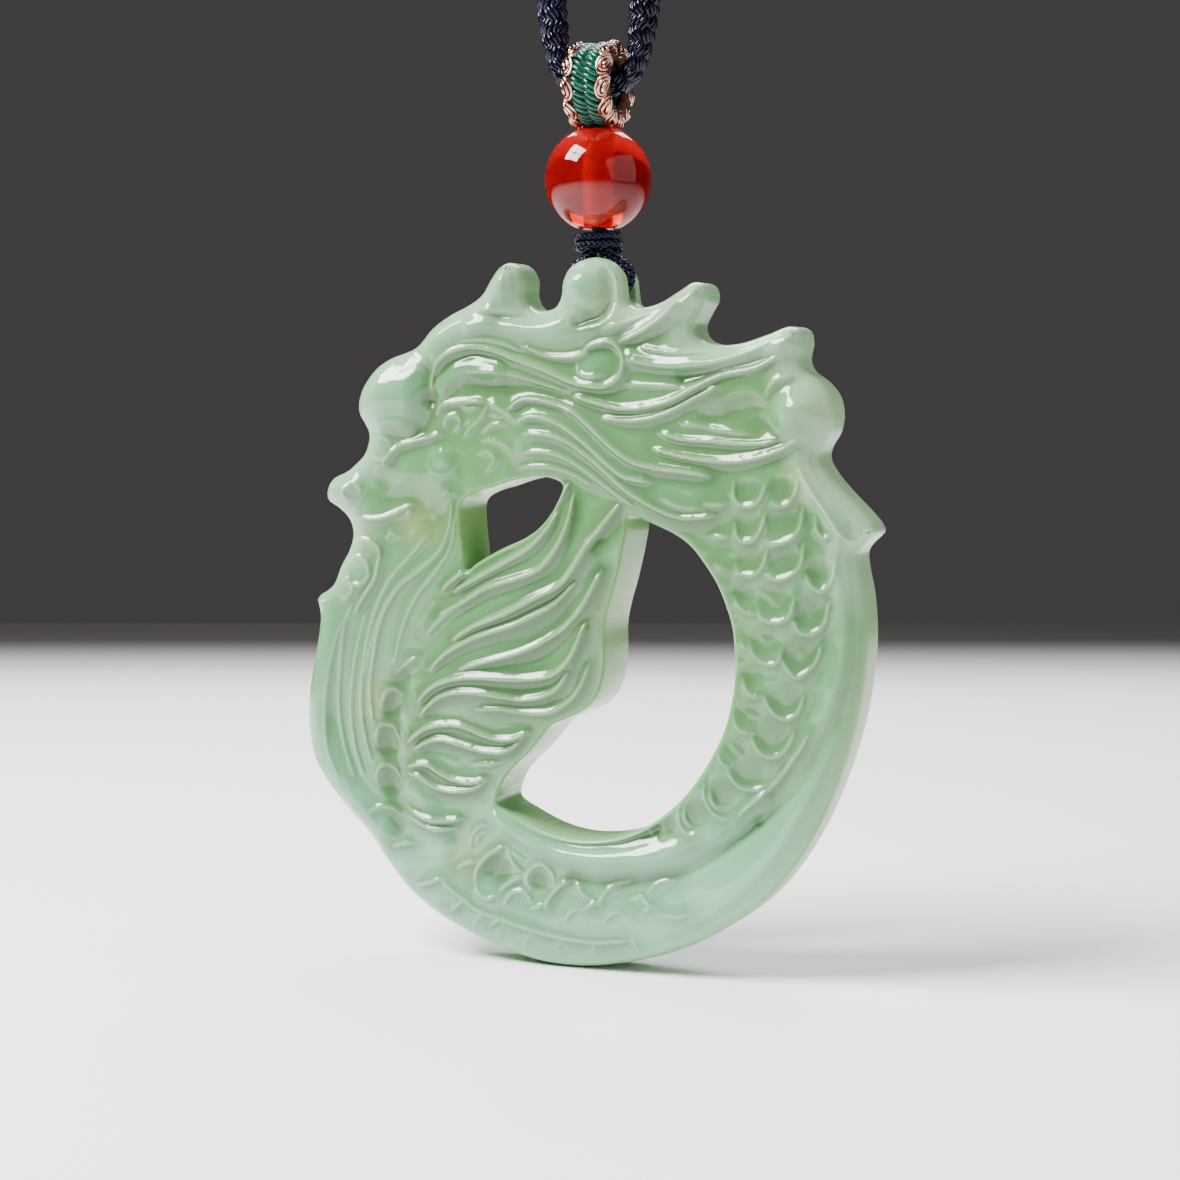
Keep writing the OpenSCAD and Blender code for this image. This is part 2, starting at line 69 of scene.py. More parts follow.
# How far a level line of sight lies above the photograph's middle, in pixels
LEVEL_PIXELS = 190
PIXELS_PER_MM = 12.9
SENSOR = 36
AZIMUTH = math.radians(22)
ELEVATION = math.atan(LEVEL_PIXELS / FOCAL_PIXELS)
DISTANCE = FOCAL_PIXELS / PIXELS_PER_MM


def add_object(name, data):
    """Puts a new object that holds data into the scene."""
    made = bpy.data.objects.new(name, data)
    bpy.context.scene.collection.objects.link(made)
    return made


looks_at = Vector((-0.67, 0, 29.3 + JADE_Z)) * MM
backwards = Vector((math.sin(AZIMUTH) * math.cos(ELEVATION),
    -math.cos(AZIMUTH) * math.cos(ELEVATION), math.sin(ELEVATION)))
camera_data = bpy.data.cameras.new("camera")
camera_data.sensor_width = SENSOR
camera_data.lens = SENSOR * FOCAL_PIXELS / PHOTO_SIDE
camera_data.clip_start = 0.005
camera_data.clip_end = 20
camera = add_object("camera", camera_data)
camera.location = looks_at + backwards * DISTANCE * MM
camera.rotation_euler = backwards.to_track_quat("Z", "Y").to_euler()
bpy.context.scene.camera = camera
print("camera", [round(c, 4) for c in camera.location], "lens", round(camera_data.lens, 1))

# %% [markdown]
# Finishes as sums
#
# A finish is a graph of nodes, and most of its nodes are small sums. They can be placed one by one,
# but a sum reads better as a sum. The class Wire holds one output of a node and lets + - * and **
# on it add the Math nodes, also with a plain number in front. Every other node comes from one
# method, which takes the node's type, its settings and what goes into its sockets.

# %% Finish and Wire
class Wire:
    """One output of a node, on which Python's operators add Math nodes."""

    def __init__(self, finish, socket):
        self.finish, self.socket = finish, socket

    def math(self, operation, *inputs):
        return self.finish.node("ShaderNodeMath", {"operation": operation}, dict(enumerate(inputs)))

    def __add__(self, other):
        return self.math("ADD", self, other)

    def __sub__(self, other):
        return self.math("SUBTRACT", self, other)

    def __rsub__(self, other):
        return self.math("SUBTRACT", other, self)

    def __mul__(self, other):
        return self.math("MULTIPLY", self, other)

    def __pow__(self, other):
        return self.math("POWER", self, other)

    __radd__ = __add__
    __rmul__ = __mul__

    def step(self, low, high):
        """0 below low, 1 above high and a smooth step between them."""
        return self.finish.node("ShaderNodeMapRange", {"interpolation_type": "SMOOTHSTEP"},
            {"Value": self, "From Min": low, "From Max": high})


class Finish:
    """A material that is built up node by node round one Principled shader."""

    def __init__(self, name, **constants):
        self.material = bpy.data.materials.new(name)
        self.material.use_nodes = True
        self.tree = self.material.node_tree
        self.shader = self.tree.nodes["Principled BSDF"]
        self.set(**constants)

    def set(self, **sockets):
        """Sets or links the Principled shader's sockets, with _ for a blank in a name."""
        for name, value in sockets.items():
            self.feed(self.shader.inputs[name.replace("_", " ")], value)

    def feed(self, socket, value):
        if isinstance(value, Wire):
            self.tree.links.new(value.socket, socket)
        elif isinstance(value, tuple) and len(value) == 3 and socket.type == "RGBA":
            socket.default_value = (*value, 1)
        else:
            socket.default_value = value

    def node(self, kind, settings=None, inputs=None, output=0):
        """Adds a node: its settings first, then values or links for its sockets."""
        made = self.tree.nodes.new(kind)
        for name, value in (settings or {}).items():
            setattr(made, name, value)
        for name, value in (inputs or {}).items():
            self.feed(made.inputs[name], value)
        return Wire(self, made.outputs[output])

    def place(self):
        """Object coordinates, in metres."""
        return self.node("ShaderNodeTexCoord", output="Object")

    def split(self, vector):
        """The three parts of a vector."""
        parts = self.node("ShaderNodeSeparateXYZ", {}, {"Vector": vector}).socket.node
        return [Wire(self, output) for output in parts.outputs]

    def attribute(self, name):
        """A number that is stored on the piece's points."""
        return self.node("ShaderNodeAttribute", {"attribute_name": name}, output="Fac")

    def noise(self, scale, detail=2.0):
        return self.node("ShaderNodeTexNoise", {}, {"Vector": self.place(), "Scale": scale,
            "Detail": detail}, output="Fac")

    def mix(self, share, low, high):
        """A colour between low and high."""
        mixed = self.node("ShaderNodeMix", {"data_type": "RGBA"}, output=2)
        sockets = mixed.socket.node.inputs
        for socket, value in ((sockets[0], share), (sockets[6], low), (sockets[7], high)):
            self.feed(socket, value)
        return mixed

    def bump(self, height, depth, strength):
        return self.node("ShaderNodeBump", {}, {"Height": height, "Distance": depth,
            "Strength": strength})


def dress(piece, finish):
    piece.data.materials.clear()
    piece.data.materials.append(finish.material)


# %% [markdown]
# Floor and light
#
# The photograph was taken beside a window: one large soft light from above and the left gives the
# long white glints on the polished crests, and a pale table throws light back up through the
# stone. Four lamps, two above two, are its panes. A wide weak one is the pale wall on the right
# that the bead mirrors, and two more light the top and the back, so that the edges glow as thin
# jade does. The floor is one sheet of paper, pale round the pendant. Towards its back edge its
# colour turns dark, a painted shade for the dim studio beyond. Nothing stands behind the pendant,
# so it can be seen from all sides.

# %% Floor sheet
# In metres: the gap under the jade, the sheet's front and back edges and half its width
FLOOR_GAP = 0.00005
FLOOR_FRONT, FLOOR_BACK, FLOOR_HALF = -0.9, 0.30, 1.2
# How far behind the pendant the paper's painted shade begins, and where it is darkest
PAINTED_SHADE_FROM, PAINTED_SHADE_TO = 0.17, 0.27


def from_bmesh(name, mesh, smooth=False):
    """Puts a bmesh into the scene as a piece, and frees it."""
    for face in mesh.faces:
        face.smooth = smooth
    data = bpy.data.meshes.new(name)
    mesh.to_mesh(data)
    mesh.free()
    return add_object(name, data)


def floor_sheet():
    """A flat sheet whose back edge lies straight across the camera's view."""
    mesh = bmesh.new()
    middle, half = (FLOOR_FRONT + FLOOR_BACK) / 2, (FLOOR_BACK - FLOOR_FRONT) / 2
    bmesh.ops.create_grid(mesh, x_segments=8, y_segments=8, size=1)
    bmesh.ops.scale(mesh, vec=(FLOOR_HALF, half, 1), verts=mesh.verts[:])
    bmesh.ops.translate(mesh, vec=(0, middle, JADE_Z * MM - FLOOR_GAP), verts=mesh.verts[:])
    bmesh.ops.rotate(mesh, matrix=Matrix.Rotation(AZIMUTH, 3, "Z"), verts=mesh.verts[:])
    return from_bmesh("floor", mesh)


floor = floor_sheet()
paper = Finish("paper_floor", Specular_IOR_Level=0.3)
across, deep, _ = paper.split(paper.place())
away = deep * math.cos(AZIMUTH) - across * math.sin(AZIMUTH)
# Towards the back edge the paper's colour is painted dark: a painted shade for the dim studio
paper.set(Roughness=0.55 + 0.1 * paper.noise(8), Base_Color=paper.mix(
    away.step(PAINTED_SHADE_FROM, PAINTED_SHADE_TO), (0.96, 0.96, 0.975), (0.045, 0.042, 0.042)))
dress(floor, paper)
print("floor from", FLOOR_FRONT, "to", FLOOR_BACK)

# %% Lamps
# Height of the jade's middle, which all lamps face
JADE_MIDDLE_Z = JADE_Z + 28


def lamp(name, place, size, power, colour=(1, 1, 1), beside=(0, 0)):
    """A soft rectangular lamp at place, in mm from the jade's foot. It may stand beside that place
    in its own plane, as one pane of a window."""
    data = bpy.data.lights.new(name, "AREA")
    data.shape = "RECTANGLE"
    data.size, data.size_y = size[0] * MM, size[1] * MM
    data.energy = power
    data.color = colour
    made = add_object(name, data)
    x, y, height = place
    stands = Vector((x, y, JADE_Z + height))
    turn = (stands - Vector((0, 0, JADE_MIDDLE_Z))).to_track_quat("Z", "Y")
    made.rotation_euler = turn.to_euler()
    made.location = (stands + turn @ Vector((*beside, 0))) * MM
    made.visible_camera = False
    return made


WINDOW, PANE, PANE_POWER = (-175, -150, 300), (94, 77), 1.3
for row, up in (("upper", 42), ("lower", -42)):
    for column, aside in (("left", -50), ("right", 50)):
        lamp("window_%s_%s" % (row, column), WINDOW, PANE, PANE_POWER, (1.0, 0.985, 0.96),
            (aside, up))
lamp("top_lamp", (90, 70, 330), (160, 120), 0.45).visible_glossy = False
lamp("fill_lamp", (290, -60, 155), (400, 280), 0.42, (1.0, 0.95, 0.92))
lamp("back_lamp", (-60, 170, 230), (200, 90), 0.6)
world = bpy.data.worlds.new("studio")
bpy.context.scene.world = world
world.use_nodes = True
world.node_tree.nodes["Background"].inputs["Color"].default_value = (0.68, 0.64, 0.64, 1)
world.node_tree.nodes["Background"].inputs["Strength"].default_value = 0.084

# %% [markdown]
# Cords
#
# A braided cord is two sets of strands that run round a core, one to the left and one to the right,
# and cross over and under each other. It could be a plain tube with a woven picture on it, but a
# tube has a smooth edge. Here every strand is a line of its own: it winds round the cord's middle
# line and rises and falls in turn, so that the edge is knotted as the real cord's is.

# %% Lines and threads
def smooth_line(points, step, closed=False):
    """Points about step apart on a smooth curve that runs through the given ones."""
    given = np.array(points, float)
    if closed:
        given = np.vstack([given[-1], given, given[0], given[1]])
    else:
        given = np.vstack([2 * given[0] - given[1], given, 2 * given[-1] - given[-2]])
    line = []
    for a, b, c, d in zip(given, given[1:], given[2:], given[3:]):
        count = max(1, round(float(np.linalg.norm(c - b)) / step))
        t = (np.arange(count) / count)[:, None]
        line.append(0.5 * (2 * b + (c - a) * t + (2 * a - 5 * b + 4 * c - d) * t ** 2
            + (3 * b - a - 3 * c + d) * t ** 3))
    if not closed:
        line.append(given[-2][None])
    return np.vstack(line)


def settled(piece):
    """A mesh of the piece with its modifiers or its curve worked out."""
    bpy.context.view_layer.update()
    graph = bpy.context.evaluated_depsgraph_get()
    return bpy.data.meshes.new_from_object(piece.evaluated_get(graph), depsgraph=graph)


def thread_piece(name, lines, radius, sides=6, closed=False):
    """One piece made of threads: each line, in mm, becomes a round thread with closed ends."""
    ring = bpy.data.curves.new(name + "_section", "CURVE")
    section = ring.splines.new("POLY")
    section.points.add(sides - 1)
    for k, point in enumerate(section.points):
        angle = math.tau * k / sides
        point.co = (radius * MM * math.cos(angle), radius * MM * math.sin(angle), 0, 1)
    section.use_cyclic_u = True
    section_holder = bpy.data.objects.new(name + "_section", ring)
    curve = bpy.data.curves.new(name, "CURVE")
    curve.dimensions = "3D"
    curve.bevel_mode, curve.bevel_object = "OBJECT", section_holder
    curve.use_fill_caps = not closed
    for line in lines:
        spline = curve.splines.new("POLY")
        spline.points.add(len(line) - 1)
        spline.points.foreach_set("co", np.c_[line * MM, np.ones(len(line))].ravel())
        spline.use_cyclic_u, spline.use_smooth = closed, True
    holder = add_object(name + "_curve", curve)
    data = settled(holder)
    data.name = name
    piece = add_object(name, data)
    for helper in (holder, section_holder):
        bpy.data.objects.remove(helper)
    for helper in (curve, ring):
        bpy.data.curves.remove(helper)
    return piece


def lengths(vectors):
    """The length of each row, as a column."""
    return np.linalg.norm(vectors, axis=1)[:, None]


class Route:
    """A cord's middle line, with a way to find the frame at any distance along it."""

    def __init__(self, line, closed, sideways=(0, 1, 0), size=None):
        ends = np.vstack([line, line[:1]]) if closed else line
        steps = np.linalg.norm(np.diff(ends, axis=0), axis=1)
        self.run = np.concatenate([[0], np.cumsum(steps)])
        self.length, self.closed, self.ends = self.run[-1], closed, ends
        ways = np.gradient(ends, axis=0)
        if closed:
            ways[0] = ways[-1] = ends[1] - ends[-2]
        self.ways = ways / lengths(ways)
        self.sideways = np.array(sideways, float)
        self.size = np.ones(len(ends)) if size is None else np.append(size, size[:1])

    def at(self, distance, angle, reach):
        """Points at reach from the middle line, turned by angle round it."""
        if self.closed:
            distance = distance % self.length
        distance = np.clip(distance, 0, self.length)
        middle = np.stack([np.interp(distance, self.run, c) for c in self.ends.T], 1)
        way = np.stack([np.interp(distance, self.run, c) for c in self.ways.T], 1)
        way /= lengths(way)
        normal = np.cross(way, self.sideways)
        normal /= lengths(normal)
        third = np.cross(normal, way)
        reach = reach * np.interp(distance, self.run, self.size)
        return middle + reach[:, None] * (np.cos(angle)[:, None] * normal
            + np.sin(angle)[:, None] * third)

    def core(self, count):
        """Points evenly along the middle line itself."""
        along = np.linspace(0, self.length, count, endpoint=not self.closed)
        return self.at(along, np.zeros(count), np.zeros(count))


# How much lower the outer threads of a band lie, for the square of their distance from its middle
BAND_DROP = 0.6


def braid(route, hand, count, turn, reach, wave, rings, side_by_side=(0,)):
    """The lines of the count strands that run one way round, right for hand 1 and left for -1.
    Each goes round the middle line at reach once in every turn mm. It rises and falls by wave as
    often as it meets a strand of the other hand, with rings points for each of its waves. It may be
    a band of threads that lie side by side."""
    turns = max(1, round(route.length / turn))
    pitch = route.length / turns if route.closed else turn
    total = int(rings * count * route.length / pitch)
    along = route.length * (np.arange(total) / total if route.closed else np.linspace(0, 1, total))
    slope = math.atan2(math.tau * reach, pitch)
    lines = []
    for strand in range(count):
        for beside in side_by_side:
            angle = hand * (math.tau * along / pitch + beside * math.cos(slope) / reach)
            height = reach + hand * wave * np.cos(2 * count * math.pi * along / pitch)
            height = height - BAND_DROP * abs(beside) ** 2
            lines.append(route.at(along - beside * math.sin(slope),
                angle + strand * math.tau / count, height))
    return lines


def cored_braid(route, core_points, **strands):
    """The strands of both hands and the core in their middle."""
    return braid(route, 1, **strands) + braid(route, -1, **strands) + [route.core(core_points)]


# %% [markdown]
# Neck cord
#
# A chunky round cord of navy thread, soft to the touch, that goes once round the neck. Each of its
# ten strands is a band of three thin threads, and the white glints in the photograph lie one on
# each of them. Where the cord bends up out of the bail it is squeezed. The threads of each hand
# make two pieces, as one would have too many faces.

# %% Neck cord
# Half of the cord's route, as x and height from the bail's middle
NECK_ROUTE = [
    (0, 0), (1.3, 0), (2.15, 0.3), (2.8, 0.95), (3.25, 2), (3.5, 3.4), (3.7, 5), (4.2, 9), (6, 18),
    (10, 38), (18, 72), (29, 112), (41, 150), (52, 188), (59, 222), (59, 250), (49, 274), (28, 290),
    (0, 296)]
MOUTH = NECK_ROUTE[3]
# Share of its size that the bail's mouth leaves the cord, how far from the mouth it stays so, and
# the length over which it grows back
SQUEEZED, SQUEEZE_END, SQUEEZE_RUN = 0.73, 0.9, 3.2
THREADS_PER_PIECE = 8
route_points = NECK_ROUTE + [(-x, z) for x, z in NECK_ROUTE[-2:0:-1]]
neck_line = smooth_line([(x, 0, z + BAIL_Z) for x, z in route_points], 0.8, closed=True)
from_mouth = np.hypot(np.abs(neck_line[:, 0]) - MOUTH[0], neck_line[:, 2] - BAIL_Z - MOUTH[1])
grown = np.clip((from_mouth - SQUEEZE_END) / SQUEEZE_RUN, 0, 1)
neck_route = Route(neck_line, True, size=SQUEEZED + (1 - SQUEEZED) * grown)
neck_pieces = []
for hand, hand_name in ((1, "right"), (-1, "left")):
    lines = braid(neck_route, hand, count=5, turn=9.8, reach=0.8, wave=0.28, rings=6,
        side_by_side=(-0.28, 0, 0.28))
    for half, share in enumerate((lines[:THREADS_PER_PIECE], lines[THREADS_PER_PIECE:])):
        neck_pieces.append(thread_piece("neck_braid_%s_%d" % (hand_name, half + 1), share, 0.165,
            sides=5, closed=True))
neck_pieces.append(thread_piece("neck_core", [neck_route.core(700)], 0.62, sides=8, closed=True))
for piece in neck_pieces:
    print(piece.name, "faces", len(piece.data.polygons))
print("neck cord length in mm", round(neck_route.length))

# %% [markdown]
# Thin cord
#
# The same braid, but thin: it goes down from the bail through the bead, through the hole in the
# jade's knob and back up, and is held together under the bead by a wound thread.

# %% Thin cord and its binding
# The cord's route, as x and height from the middle of the knob's hole
LOOP_ROUTE = [
    (-0.68, 4), (-0.68, 3.4), (-0.72, 2.9), (-1, 2.5), (-1.55, 2.15), (-1.95, 1.65), (-2.1, 1.05),
    (-1.85, 0.35), (-1.2, 0), (1, 0), (1.8, 0.1), (2.35, 0.6), (2.5, 1.3), (2.2, 2), (1.6, 2.35),
    (1, 2.55), (0.72, 2.95), (0.66, 3.4), (0.64, 3.9), (0.5, 4.3), (0.12, 4.85), (0, 5.5), (0, 8.6),
    (0, 13.3)]
loop_route = Route(smooth_line([(x, 0, z + BORE_Z) for x, z in LOOP_ROUTE], 0.15), False)
hanging_cord = thread_piece("hanging_cord",
    cored_braid(loop_route, 90, count=4, turn=1.9, reach=0.36, wave=0.07, rings=5), 0.165)

# How far each strand lies to the side under the binding, and the binding's turns, half the
# thickness of its thread and its rise with each turn
STRAND_X = 0.68
BINDING_TURNS, BINDING_HALF, BINDING_RISE = 2, 0.3, 0.65
binding_turn = np.linspace(0, BINDING_TURNS, 90)
forth, side = np.cos(math.tau * binding_turn), np.sin(math.tau * binding_turn)
binding_line = np.stack([forth + STRAND_X * np.tanh(5 * forth), side,
    BINDING_BASE_Z + BINDING_HALF + BINDING_RISE * binding_turn], 1)
binding_route = Route(binding_line, False, sideways=(0, 0, 1))
knob_binding = thread_piece("knob_binding",
    cored_braid(binding_route, 60, count=3, turn=1.3, reach=0.17, wave=0.06, rings=6), 0.085)
print("thin cord faces", len(hanging_cord.data.polygons), "binding faces",
    len(knob_binding.data.polygons))

# %% [markdown]
# Cord finish
#
# Silk-like nylon thread: dark navy, with a soft shine along each thread and tiny pale fibres. The
# fibres could be hairs, but at this size a fine noise in the colour and the bump does the same. The
# paler flecks in the colour are partly pale fibres and partly painted glints.

# %% Cord finish
def cord_finish(name, colour, glint):
    finish = Finish(name, Specular_IOR_Level=0.28, Specular_Tint=(0.8, 0.8, 1.0, 1))
    wear = finish.noise(140)
    fibres = finish.noise(1500)
    # Paler flecks where the noise is high: pale fibres and painted glints
    finish.set(Base_Color=finish.mix((fibres * 0.5 + wear * 0.5).step(0.45, 0.7), colour, glint),
        Roughness=0.05 + 0.08 * wear, Normal=finish.bump(fibres, 0.00002, 0.2))
    return finish


navy = cord_finish("navy_braid", (0.0012, 0.0012, 0.006), (0.006, 0.006, 0.024))
for piece in neck_pieces:
    dress(piece, navy)
    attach(piece, "neck_loop")
    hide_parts("neck_cord")
thin_navy = cord_finish("thin_navy_cord", (0.002, 0.0025, 0.012), (0.007, 0.009, 0.035))
for piece, node in ((hanging_cord, "pendant_cord"), (knob_binding, "cord_binding")):
    dress(piece, thin_navy)
    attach(piece, "drop")
    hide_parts(node)

# %% [markdown]
# Bail
#
# The bail is a short tube of wound thread that the neck cord runs through. It is made as the real
# one is: a padded ring, green thread wound over it in short slanting stitches that meet in the
# middle, and at each side an edging of pink-gold loops, each loop three shiny threads laid one
# beside the other. A carved ring with a bump picture would lose the loops at the edge.

# %% Bail winding
def closed_edges(mesh, corners):
    """Adds corners to a bmesh, joined up by a closed line of edges."""
    points = [mesh.verts.new(corner) for corner in corners]
    for pair in zip(points, points[1:] + points[:1]):
        mesh.edges.new(pair)


def spun(name, profile, middle_z, axis):
    """A closed profile, as x and height in mm from the middle, spun about an axis through it."""
    mesh = bmesh.new()
    closed_edges(mesh, [(x * MM, 0, (middle_z + z) * MM) for x, z in profile])
    bmesh.ops.spin(mesh, geom=mesh.verts[:] + mesh.edges[:], cent=(0, 0, middle_z * MM),
        axis=axis, dvec=(0, 0, 0), angle=math.tau, steps=96, use_merge=True)
    bmesh.ops.remove_doubles(mesh, verts=mesh.verts[:], dist=1e-7)
    bmesh.ops.recalc_face_normals(mesh, faces=mesh.faces[:])
    return from_bmesh(name, mesh, smooth=True)


def ring_about_x(radius, x, turn):
    """A point of the ring of radius about the X axis through the bail's middle."""
    return np.stack([np.broadcast_to(x, np.shape(turn)), radius * np.sin(turn),
        BAIL_Z + radius * np.cos(turn)], 1)


# Left half of the padded ring's profile, as x and radius
PAD_HALF = [(-0.9, 1.62), (-0.98, 2.5), (-0.75, 2.84), (-0.35, 3)]
STITCHES = 40
# A stitch's middle, its length along X, its lean in radians, its radius at the ends and its rise
STITCH_X, STITCH_RUN, STITCH_LEAN, STITCH_R, STITCH_RISE = 0.5, 1.12, 0.26, 2.66, 0.36
# How much chance changes a stitch's place round the ring, its x, its lean and its rise
STITCH_CHANCE = (0.14, 0.03, 0.06, 0.03)


def bail_stitches():
    """Two rows of slanting stitches, side by side, which both lean the same way."""
    lines = []
    t = np.linspace(0, 1, 13)
    chance = np.random.default_rng(7)
    for side in (-1, 1):
        for k in range(STITCHES):
            shift, sideways, lean, rise = chance.uniform(-1, 1, 4) * STITCH_CHANCE
            start = math.tau * (k + (0.5 if side > 0 else 0) + shift) / STITCHES
            x = side * STITCH_X + sideways + STITCH_RUN * (t - 0.5)
            turn = start - (STITCH_LEAN + lean) * (t - 0.5)
            radius = STITCH_R + (STITCH_RISE + rise) * np.sin(math.pi * t) ** 0.5
            lines.append(ring_about_x(radius, x, turn))
    return lines


bail_pad = spun("bail_base", PAD_HALF + [(0, 3.02)] + [(-x, r) for x, r in PAD_HALF[::-1]],
    BAIL_Z, (1, 0, 0))
bail_winding = thread_piece("bail_winding", bail_stitches(), 0.19, sides=9)
print("stitches", 2 * STITCHES, "faces", len(bail_winding.data.polygons))

# %% Bail edging
LOOPS = 11
# The three threads of a loop. Columns: half length round the bail in mm, half width in degrees
# round the edge's section, and lift off the edge in mm.
LOOP_THREADS = ((0.80, 66, 0.02), (0.52, 41, 0.10), (0.22, 16, 0.17))
# The edge's section: the radius and x of its middle, and its half height and half width
EDGE_R, EDGE_X, EDGE_HIGH, EDGE_WIDE = 2.34, 1.20, 0.72, 0.55
# A loop's middle lies this far round the section, in degrees, and its top slants and stands up
LOOP_BEND, LOOP_SLANT, LOOP_TILT = 44, 0.10, 0.10
# Radius of the bail at which a thread's half length is measured, and x of the ring under the loops
LOOP_R, BED_X = 2.9, 1.34


def edging_loops(side):
    """Big oval loops that lie slanting on the edge's round, each of three nested threads."""
    lines = []
    t = np.linspace(0, math.tau, 26, endpoint=False)
    chance = np.random.default_rng(11)
    for k in range(LOOPS):
        shift, twist, _ = chance.uniform(-1, 1, 3)
        middle = math.tau * (k + 0.1 * shift) / LOOPS
        for length, width, lift in LOOP_THREADS:
            bend = np.radians(LOOP_BEND + 5 * twist + width * np.sin(t))
            turn = middle + length * np.cos(t) / LOOP_R + LOOP_SLANT * np.sin(t)
            lifted = lift + LOOP_TILT * np.cos(t + 0.4)
            radius = EDGE_R + (EDGE_HIGH + lifted) * np.cos(bend)
            x = side * (EDGE_X + (EDGE_WIDE + lifted) * np.sin(bend))
            lines.append(ring_about_x(radius, x, turn))
    return lines


def edging_bed(side):
    """The middle line of the ring that the loops are sewn on to. Its dark colour is painted shade
    for the gaps between the loops.
    """
    return ring_about_x(EDGE_R, side * BED_X, np.linspace(0, math.tau, 60, endpoint=False))


gold_pieces = []
for side, side_name in ((-1, "left"), (1, "right")):
    loops = thread_piece("bail_loops_" + side_name, edging_loops(side), 0.115, sides=8, closed=True)
    bed = thread_piece("bail_bed_" + side_name, [edging_bed(side)], 0.52, sides=14, closed=True)
    gold_pieces.append((loops, bed, "bail_edging_" + side_name))
    print(loops.name, "faces", len(loops.data.polygons))

# %% Thread finishes
def thread_finish(name, colour, pale, metallic, roughness, glint=0.8):
    finish = Finish(name, Metallic=metallic, Specular_IOR_Level=glint)
    fibres = finish.noise(2200)
    finish.set(Base_Color=finish.mix(fibres.step(0.35, 0.75), colour, pale),
        Roughness=roughness + 0.1 * fibres, Normal=finish.bump(fibres, 0.00002, 0.2))
    return finish


emerald = thread_finish("emerald_thread", (0.0, 0.035, 0.02), (0.0, 0.085, 0.05), 0.0, 0.05, 0.5)
# The pad and the ring under the loops are dark and dull: painted shade in the gaps between the
# stitches and loops
emerald_gap_shade = thread_finish("emerald_pad", (0.0, 0.012, 0.007), (0.0, 0.025, 0.014), 0.0, 0.6,
    0.1)
pink_gold = thread_finish("pink_gold_thread", (0.56, 0.28, 0.21), (0.82, 0.55, 0.45), 1.0, 0.12)
gold_gap_shade = thread_finish("gold_bed", (0.05, 0.018, 0.012), (0.10, 0.04, 0.028), 0.0, 0.6, 0.1)
for piece, finish in ((bail_winding, emerald), (bail_pad, emerald_gap_shade)):
    dress(piece, finish)
    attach(piece, "drop")
    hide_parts("bail_wrap")
for loops, bed, node in gold_pieces:
    for piece, finish in ((loops, pink_gold), (bed, gold_gap_shade)):
        dress(piece, finish)
        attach(piece, "drop")
        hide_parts(node)

# %% [markdown]
# Bead
#
# A ball of red agate with a drilled hole. It is spun from half of its section, with the hole's wall
# and the small flats at both ends, because light runs through the real bead and the hole shows
# inside it as a paler column. The hole's wall is coloured bright orange, a painted glow of that
# light.

# %% Bead
BEAD_R = 4.1
BEAD_HALF = 3.75
BEAD_BORE = 0.85
# Distances from the bead's axis, in metres, between which the hole's painted glow turns into the
# stone's red
HOLE_GLOW = (0.00088, 0.0013)


def bead_profile():
    """From the hole's upper mouth over the flat and down the ball to the lower mouth."""
    flat_r = math.sqrt(BEAD_R ** 2 - BEAD_HALF ** 2)
    top = math.asin(BEAD_HALF / BEAD_R)
    mouth = [(BEAD_BORE, BEAD_HALF - 0.2), (BEAD_BORE + 0.12, BEAD_HALF - 0.04),
        (flat_r - 0.12, BEAD_HALF)]
    ball = [(BEAD_R * math.cos(a), BEAD_R * math.sin(a)) for a in np.linspace(top, -top, 40)]
    return mouth + ball + [(r, -z) for r, z in mouth[::-1]]


stone_bead = spun("stone_bead", bead_profile(), BEAD_Z, (0, 0, 1))
agate = Finish("red_agate", IOR=1.42, Specular_IOR_Level=0.38, Transmission_Weight=0.7,
    Subsurface_Weight=0.8, Subsurface_Scale=0.003, Subsurface_Radius=(1.0, 0.12, 0.05))
clouds = agate.noise(260, 3)
east, north, _ = agate.split(agate.place())
outer = ((east * east + north * north) ** 0.5).step(*HOLE_GLOW)
stone_red = agate.mix(clouds.step(0.3, 0.7), (0.30, 0.001, 0.003), (0.44, 0.003, 0.005))
# Bright orange near the axis is a painted glow on the hole's wall; the stone outside it is red
agate.set(Base_Color=agate.mix(outer, (0.9, 0.10, 0.02), stone_red), Roughness=0.55 - 0.51 * outer)
dress(stone_bead, agate)
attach(stone_bead, "drop")
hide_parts("red_bead")
print("bead faces", len(stone_bead.data.polygons))

# %% [markdown]
# The jade blank
#
# The real carving starts as a flat slab of jade, sawn to the dragon's outline and pierced twice. It
# could be sculpted from a block, or drawn as a flat shape that is pulled to the slab's thickness.
# The second keeps the outline exact. Points are drawn in mm, x from the middle and height above
# the jade's foot, and a smooth curve is run through them.

